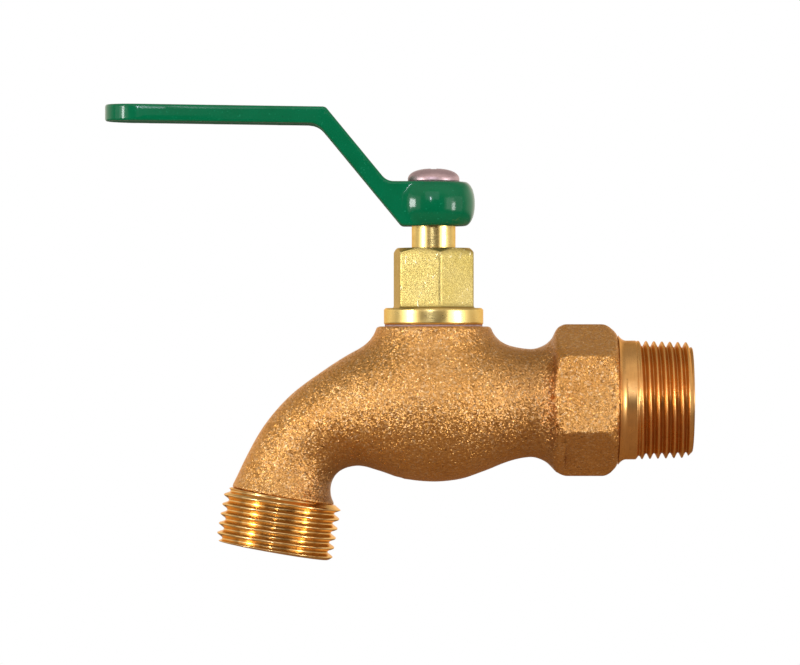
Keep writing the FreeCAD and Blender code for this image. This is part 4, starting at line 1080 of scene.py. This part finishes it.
screw = turned("screw", screw_profile, AT_STEM)
for size in ((BAR_LONG, BAR_WIDE, BAR_DEEP), (BAR_WIDE, BAR_LONG, BAR_DEEP)):
    machine(screw, block("cross_bar", size, Matrix.Translation((STEM_X, 0, LEVER_TOP + HEAD_HEIGHT))))
print("screw", len(screw.data.polygons), "faces")

# %% [markdown]
# Two rubber rings seal the stem in its grooves. The packed ones are square cut; a real one is a cord with a
# round section, bent to a ring, so each is turned again from a circle.

# %% Turn the rubber rings
CORD = 0.75
CORD_REACH = 5.03 - CORD


def rubber_ring(name, height):
    section = [
        (CORD_REACH + CORD * math.cos(a), height + CORD * math.sin(a))
        for a in np.radians(np.arange(0, 360, 20))
    ]
    return turned(name, section, AT_STEM, 72)


rings = [rubber_ring("upper_cord", HEX_TOP - 6.0), rubber_ring("lower_cord", HEX_TOP - 10.6)]
print("rings", [len(ring.data.polygons) for ring in rings], "faces")

# %% [markdown]
# ## Which piece stands for which node
# The lever turns with the screw, the stem and its rings. Everything else stays with the casting. Each new
# piece rides one of those two bodies, and the packed piece that it replaces is hidden.

# %% Bodies and replaced nodes
for piece in (casting, pipe_thread, hose_thread):
    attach(piece, "valve")
    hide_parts("valve_body")
for piece in (bonnet, barrel):
    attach(piece, "valve")
    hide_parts("cartridge_housing")
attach(lever, "lever")
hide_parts("handle")
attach(screw, "lever")
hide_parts("handle_screw")
for ring, node in zip(rings, ("spindle_o_ring_upper", "spindle_o_ring_lower")):
    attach(ring, "lever")
    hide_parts(node)
new_pieces = [casting, pipe_thread, hose_thread, bonnet, barrel, lever, screw, *rings]
print("new pieces:", ", ".join(piece.name for piece in new_pieces))

# %% [markdown]
# ## Dressing every piece
# New pieces take one material each; the bonnet takes two, the flange's faces turned and the flats frosted.
# The packed pieces that stay visible or hidden keep their shape and only get a better finish.


# %% Give out the finishes
def dress(piece, *finishes):
    piece.data.materials.clear()
    for material in finishes:
        piece.data.materials.append(material)


dress(casting, cast_bronze)
dress(pipe_thread, pipe_bronze)
dress(hose_thread, hose_bronze)
dress(bonnet, bar_brass, brass)
for face in bonnet.data.polygons:
    around_stem = math.hypot(face.center.x - STEM_X * MM, face.center.y) / MM
    face.material_index = int(face.center.z < (FLANGE_TOP + 0.05) * MM or around_stem < CROWN_FLAT - 0.3)
dress(barrel, brass)
dress(lever, green_enamel)
dress(screw, stainless)
for ring in rings:
    dress(ring, rubber)
NODE_FINISH = {
    "flange_gasket": fibre, "slip_washer": plastic, "spindle": brass, "retaining_ring": spring,
    "rotating_disc": ceramic, "fixed_disc": ceramic, "seat_seal": rubber, "seal_support_ring": plastic,
}
for node, material in NODE_FINISH.items():
    for slot in frame["nodes"][node].material_slots:
        slot.material = material
print("dressed", len(new_pieces) + len(NODE_FINISH), "pieces")

# %% [markdown]
# ## Camera
# The photograph looks straight at the side of the tap, level with the middle of it, from a little over a
# metre. The lens is worked out from the width that the picture covers at that distance.

# %% Camera
AIM = Vector((-0.06667, 0.0, 0.01541))
DISTANCE = 1.15
PICTURE_WIDTH = 0.18265
SENSOR = 36
camera = new_object("camera", bpy.data.cameras.new("camera"))
camera.data.sensor_width = SENSOR
camera.data.lens = SENSOR * DISTANCE / PICTURE_WIDTH
camera.location = AIM + Vector((0, -DISTANCE, 0))
camera.rotation_euler = (math.radians(90), 0, 0)
bpy.context.scene.camera = camera
bpy.context.scene.view_settings.view_transform = "Standard"
print("lens", round(camera.data.lens), "mm")

# %% [markdown]
# ## Light
# Polished metal shows the room. The world is white to the camera and to reflections, and plain grey as a
# light. Round the tap stands a tent of card that only reflections see, so it takes no light away from the
# enamel. It is pale behind the tap and dim on the camera's side, dimmest straight ahead and towards the
# ground, which gives turned metal its dark middle between bright bands.

# %% World
AS_LIGHT = 0.62
world = bpy.data.worlds.new("studio")
bpy.context.scene.world = world
world.use_nodes = True
sky = world.node_tree
rays = sky.nodes.new("ShaderNodeLightPath").outputs
seen = Number(rays["Is Camera Ray"])
for kind in ("Is Glossy Ray", "Is Transmission Ray"):
    seen = lay("MAXIMUM", seen, Number(rays[kind]))
strength = seen * (1.0 - AS_LIGHT) + AS_LIGHT
background = sky.nodes["Background"].inputs
background["Color"].default_value = (1, 1, 1, 1)
sky.links.new(strength.socket, background["Strength"])
print("world", AS_LIGHT, "as a light")

# %% Tent of card
TENT = 2.2
work = bmesh.new()
bmesh.ops.create_icosphere(work, subdivisions=4, radius=TENT)
tent = from_drawing("tent", work)
card = Recipe("grey_card", Roughness=1.0, Specular_IOR_Level=0.0, Base_Color=(0, 0, 0, 1))
card_place = card.step("ShaderNodeMapping", {"Vector": card.coordinates, "Scale": (1 / TENT,) * 3})
behind, height = (card.step("ShaderNodeSeparateXYZ", {0: card_place}, axis) for axis in "YZ")
level = card.ramp(height, -0.25, 0.40, 0.12, 0.42)
upper_front = card.maths("MULTIPLY", card.ramp(height, 0.15, 0.45), card.ramp(behind, 0.1, -0.4))
level = card.maths("MULTIPLY_ADD", upper_front, 0.38, level)
backdrop = card.maths("MULTIPLY", card.ramp(height, 0.55, 0.25), card.ramp(height, -0.22, -0.08))
backdrop = card.maths("MULTIPLY", backdrop, card.ramp(behind, -0.05, 0.35))
level = card.maths("MULTIPLY_ADD", backdrop, 0.75, level)
level = card.maths("MULTIPLY", level, card.ramp(behind, -0.97, -0.70, 0.24, 1.0))
warmth = card.mix(card.ramp(behind, -0.55, -0.95), (1.0, 0.90, 0.80), (1.0, 0.74, 0.45))
card.finish(Emission_Color=warmth, Emission_Strength=level)
dress(tent, card.material)
for rays_without_it in ("camera", "diffuse", "shadow", "transmission"):
    setattr(tent, "visible_" + rays_without_it, False)
print("tent", round(2 * TENT, 1), "m across")

# %% [markdown]
# On each side stands a wide dim softbox with a brighter core, and in front of it a narrow bright tube. The
# boxes give the casting its form, and the tubes draw the two bright bands on every turned piece. A narrow
# lamp by the camera draws the thin line between them, and a wide one above it fills the front. These two
# are a little cooler, as daylight is.


# %% Lamps
def soft_light(name, azimuth, elevation, distance, width, height, radiance, colour=(1, 1, 1)):
    """Rectangular lamp that faces the tap. Azimuth zero is the camera's side, positive to the right."""
    lamp = bpy.data.lights.new(name, "AREA")
    lamp.shape = "RECTANGLE"
    lamp.size, lamp.size_y = width, height
    lamp.energy = radiance * math.pi * width * height
    lamp.color = colour
    piece = new_object(name, lamp)
    a, e = math.radians(azimuth), math.radians(elevation)
    offset = Vector((math.sin(a) * math.cos(e), -math.cos(a) * math.cos(e), math.sin(e))) * distance
    piece.location = AIM + offset
    piece.rotation_euler = (-offset).to_track_quat("-Z", "Y").to_euler()
    print(name, round(lamp.energy, 2), "W")


DAYLIGHT = (0.95, 1.0, 1.18)
soft_light("left_softbox", -62, 4, 0.9, 0.80, 0.45, 1.0)
soft_light("left_core", -62, 4, 0.88, 0.20, 0.26, 2.0)
soft_light("left_tube", -56, 4, 0.86, 0.11, 0.20, 27.0)
soft_light("right_softbox", 60, 2, 0.9, 1.00, 0.45, 0.85)
soft_light("right_core", 48, 2, 0.88, 0.36, 0.34, 1.8)
soft_light("right_tube", 58, -3, 0.86, 0.15, 0.22, 17.0)
soft_light("camera_light", -8, 12, 1.2, 0.05, 0.16, 50.0, DAYLIGHT)
soft_light("front_fill", -4, 22, 1.1, 0.75, 0.46, 1.15, DAYLIGHT)

# %% [markdown]
# The floor is a pale round board that fades out towards its rim, so no horizon shows. The camera sees it
# pale. What it sends back to the metal is a warm brown, which the underside of the casting shows.

# %% Floor
SPOKES, FLOOR_RADIUS, FLOOR_LEVEL = 64, 0.55, -0.112
FADE_START, FADE_END = 0.30, 0.52
PALE, PALER, WARM_BOUNCE = (0.86, 0.86, 0.86), (0.90, 0.90, 0.90), (0.38, 0.25, 0.16)
work = bmesh.new()
bmesh.ops.create_circle(work, cap_ends=True, segments=SPOKES, radius=FLOOR_RADIUS)
for corner in work.verts:
    corner.co += Vector((AIM.x, 0, FLOOR_LEVEL))
floor = from_drawing("floor", work)
pale = Recipe("pale_floor", Roughness=0.9, Specular_IOR_Level=0.1)
middle = {0: pale.coordinates, 1: (AIM.x, 0.0, FLOOR_LEVEL)}
away = pale.step("ShaderNodeVectorMath", middle, "Value", operation="DISTANCE")
speckle = pale.noise(2.0, 2.0)
to_camera = pale.step("ShaderNodeLightPath", {}, "Is Camera Ray")
shade = pale.mix(to_camera, WARM_BOUNCE, pale.mix(speckle, PALE, PALER))
pale.finish(Base_Color=shade, Alpha=pale.ramp(away, FADE_START, FADE_END, 1.0, 0.0))
dress(floor, pale.material)
print("floor", round(-FLOOR_LEVEL / MM), "mm under the pipe")
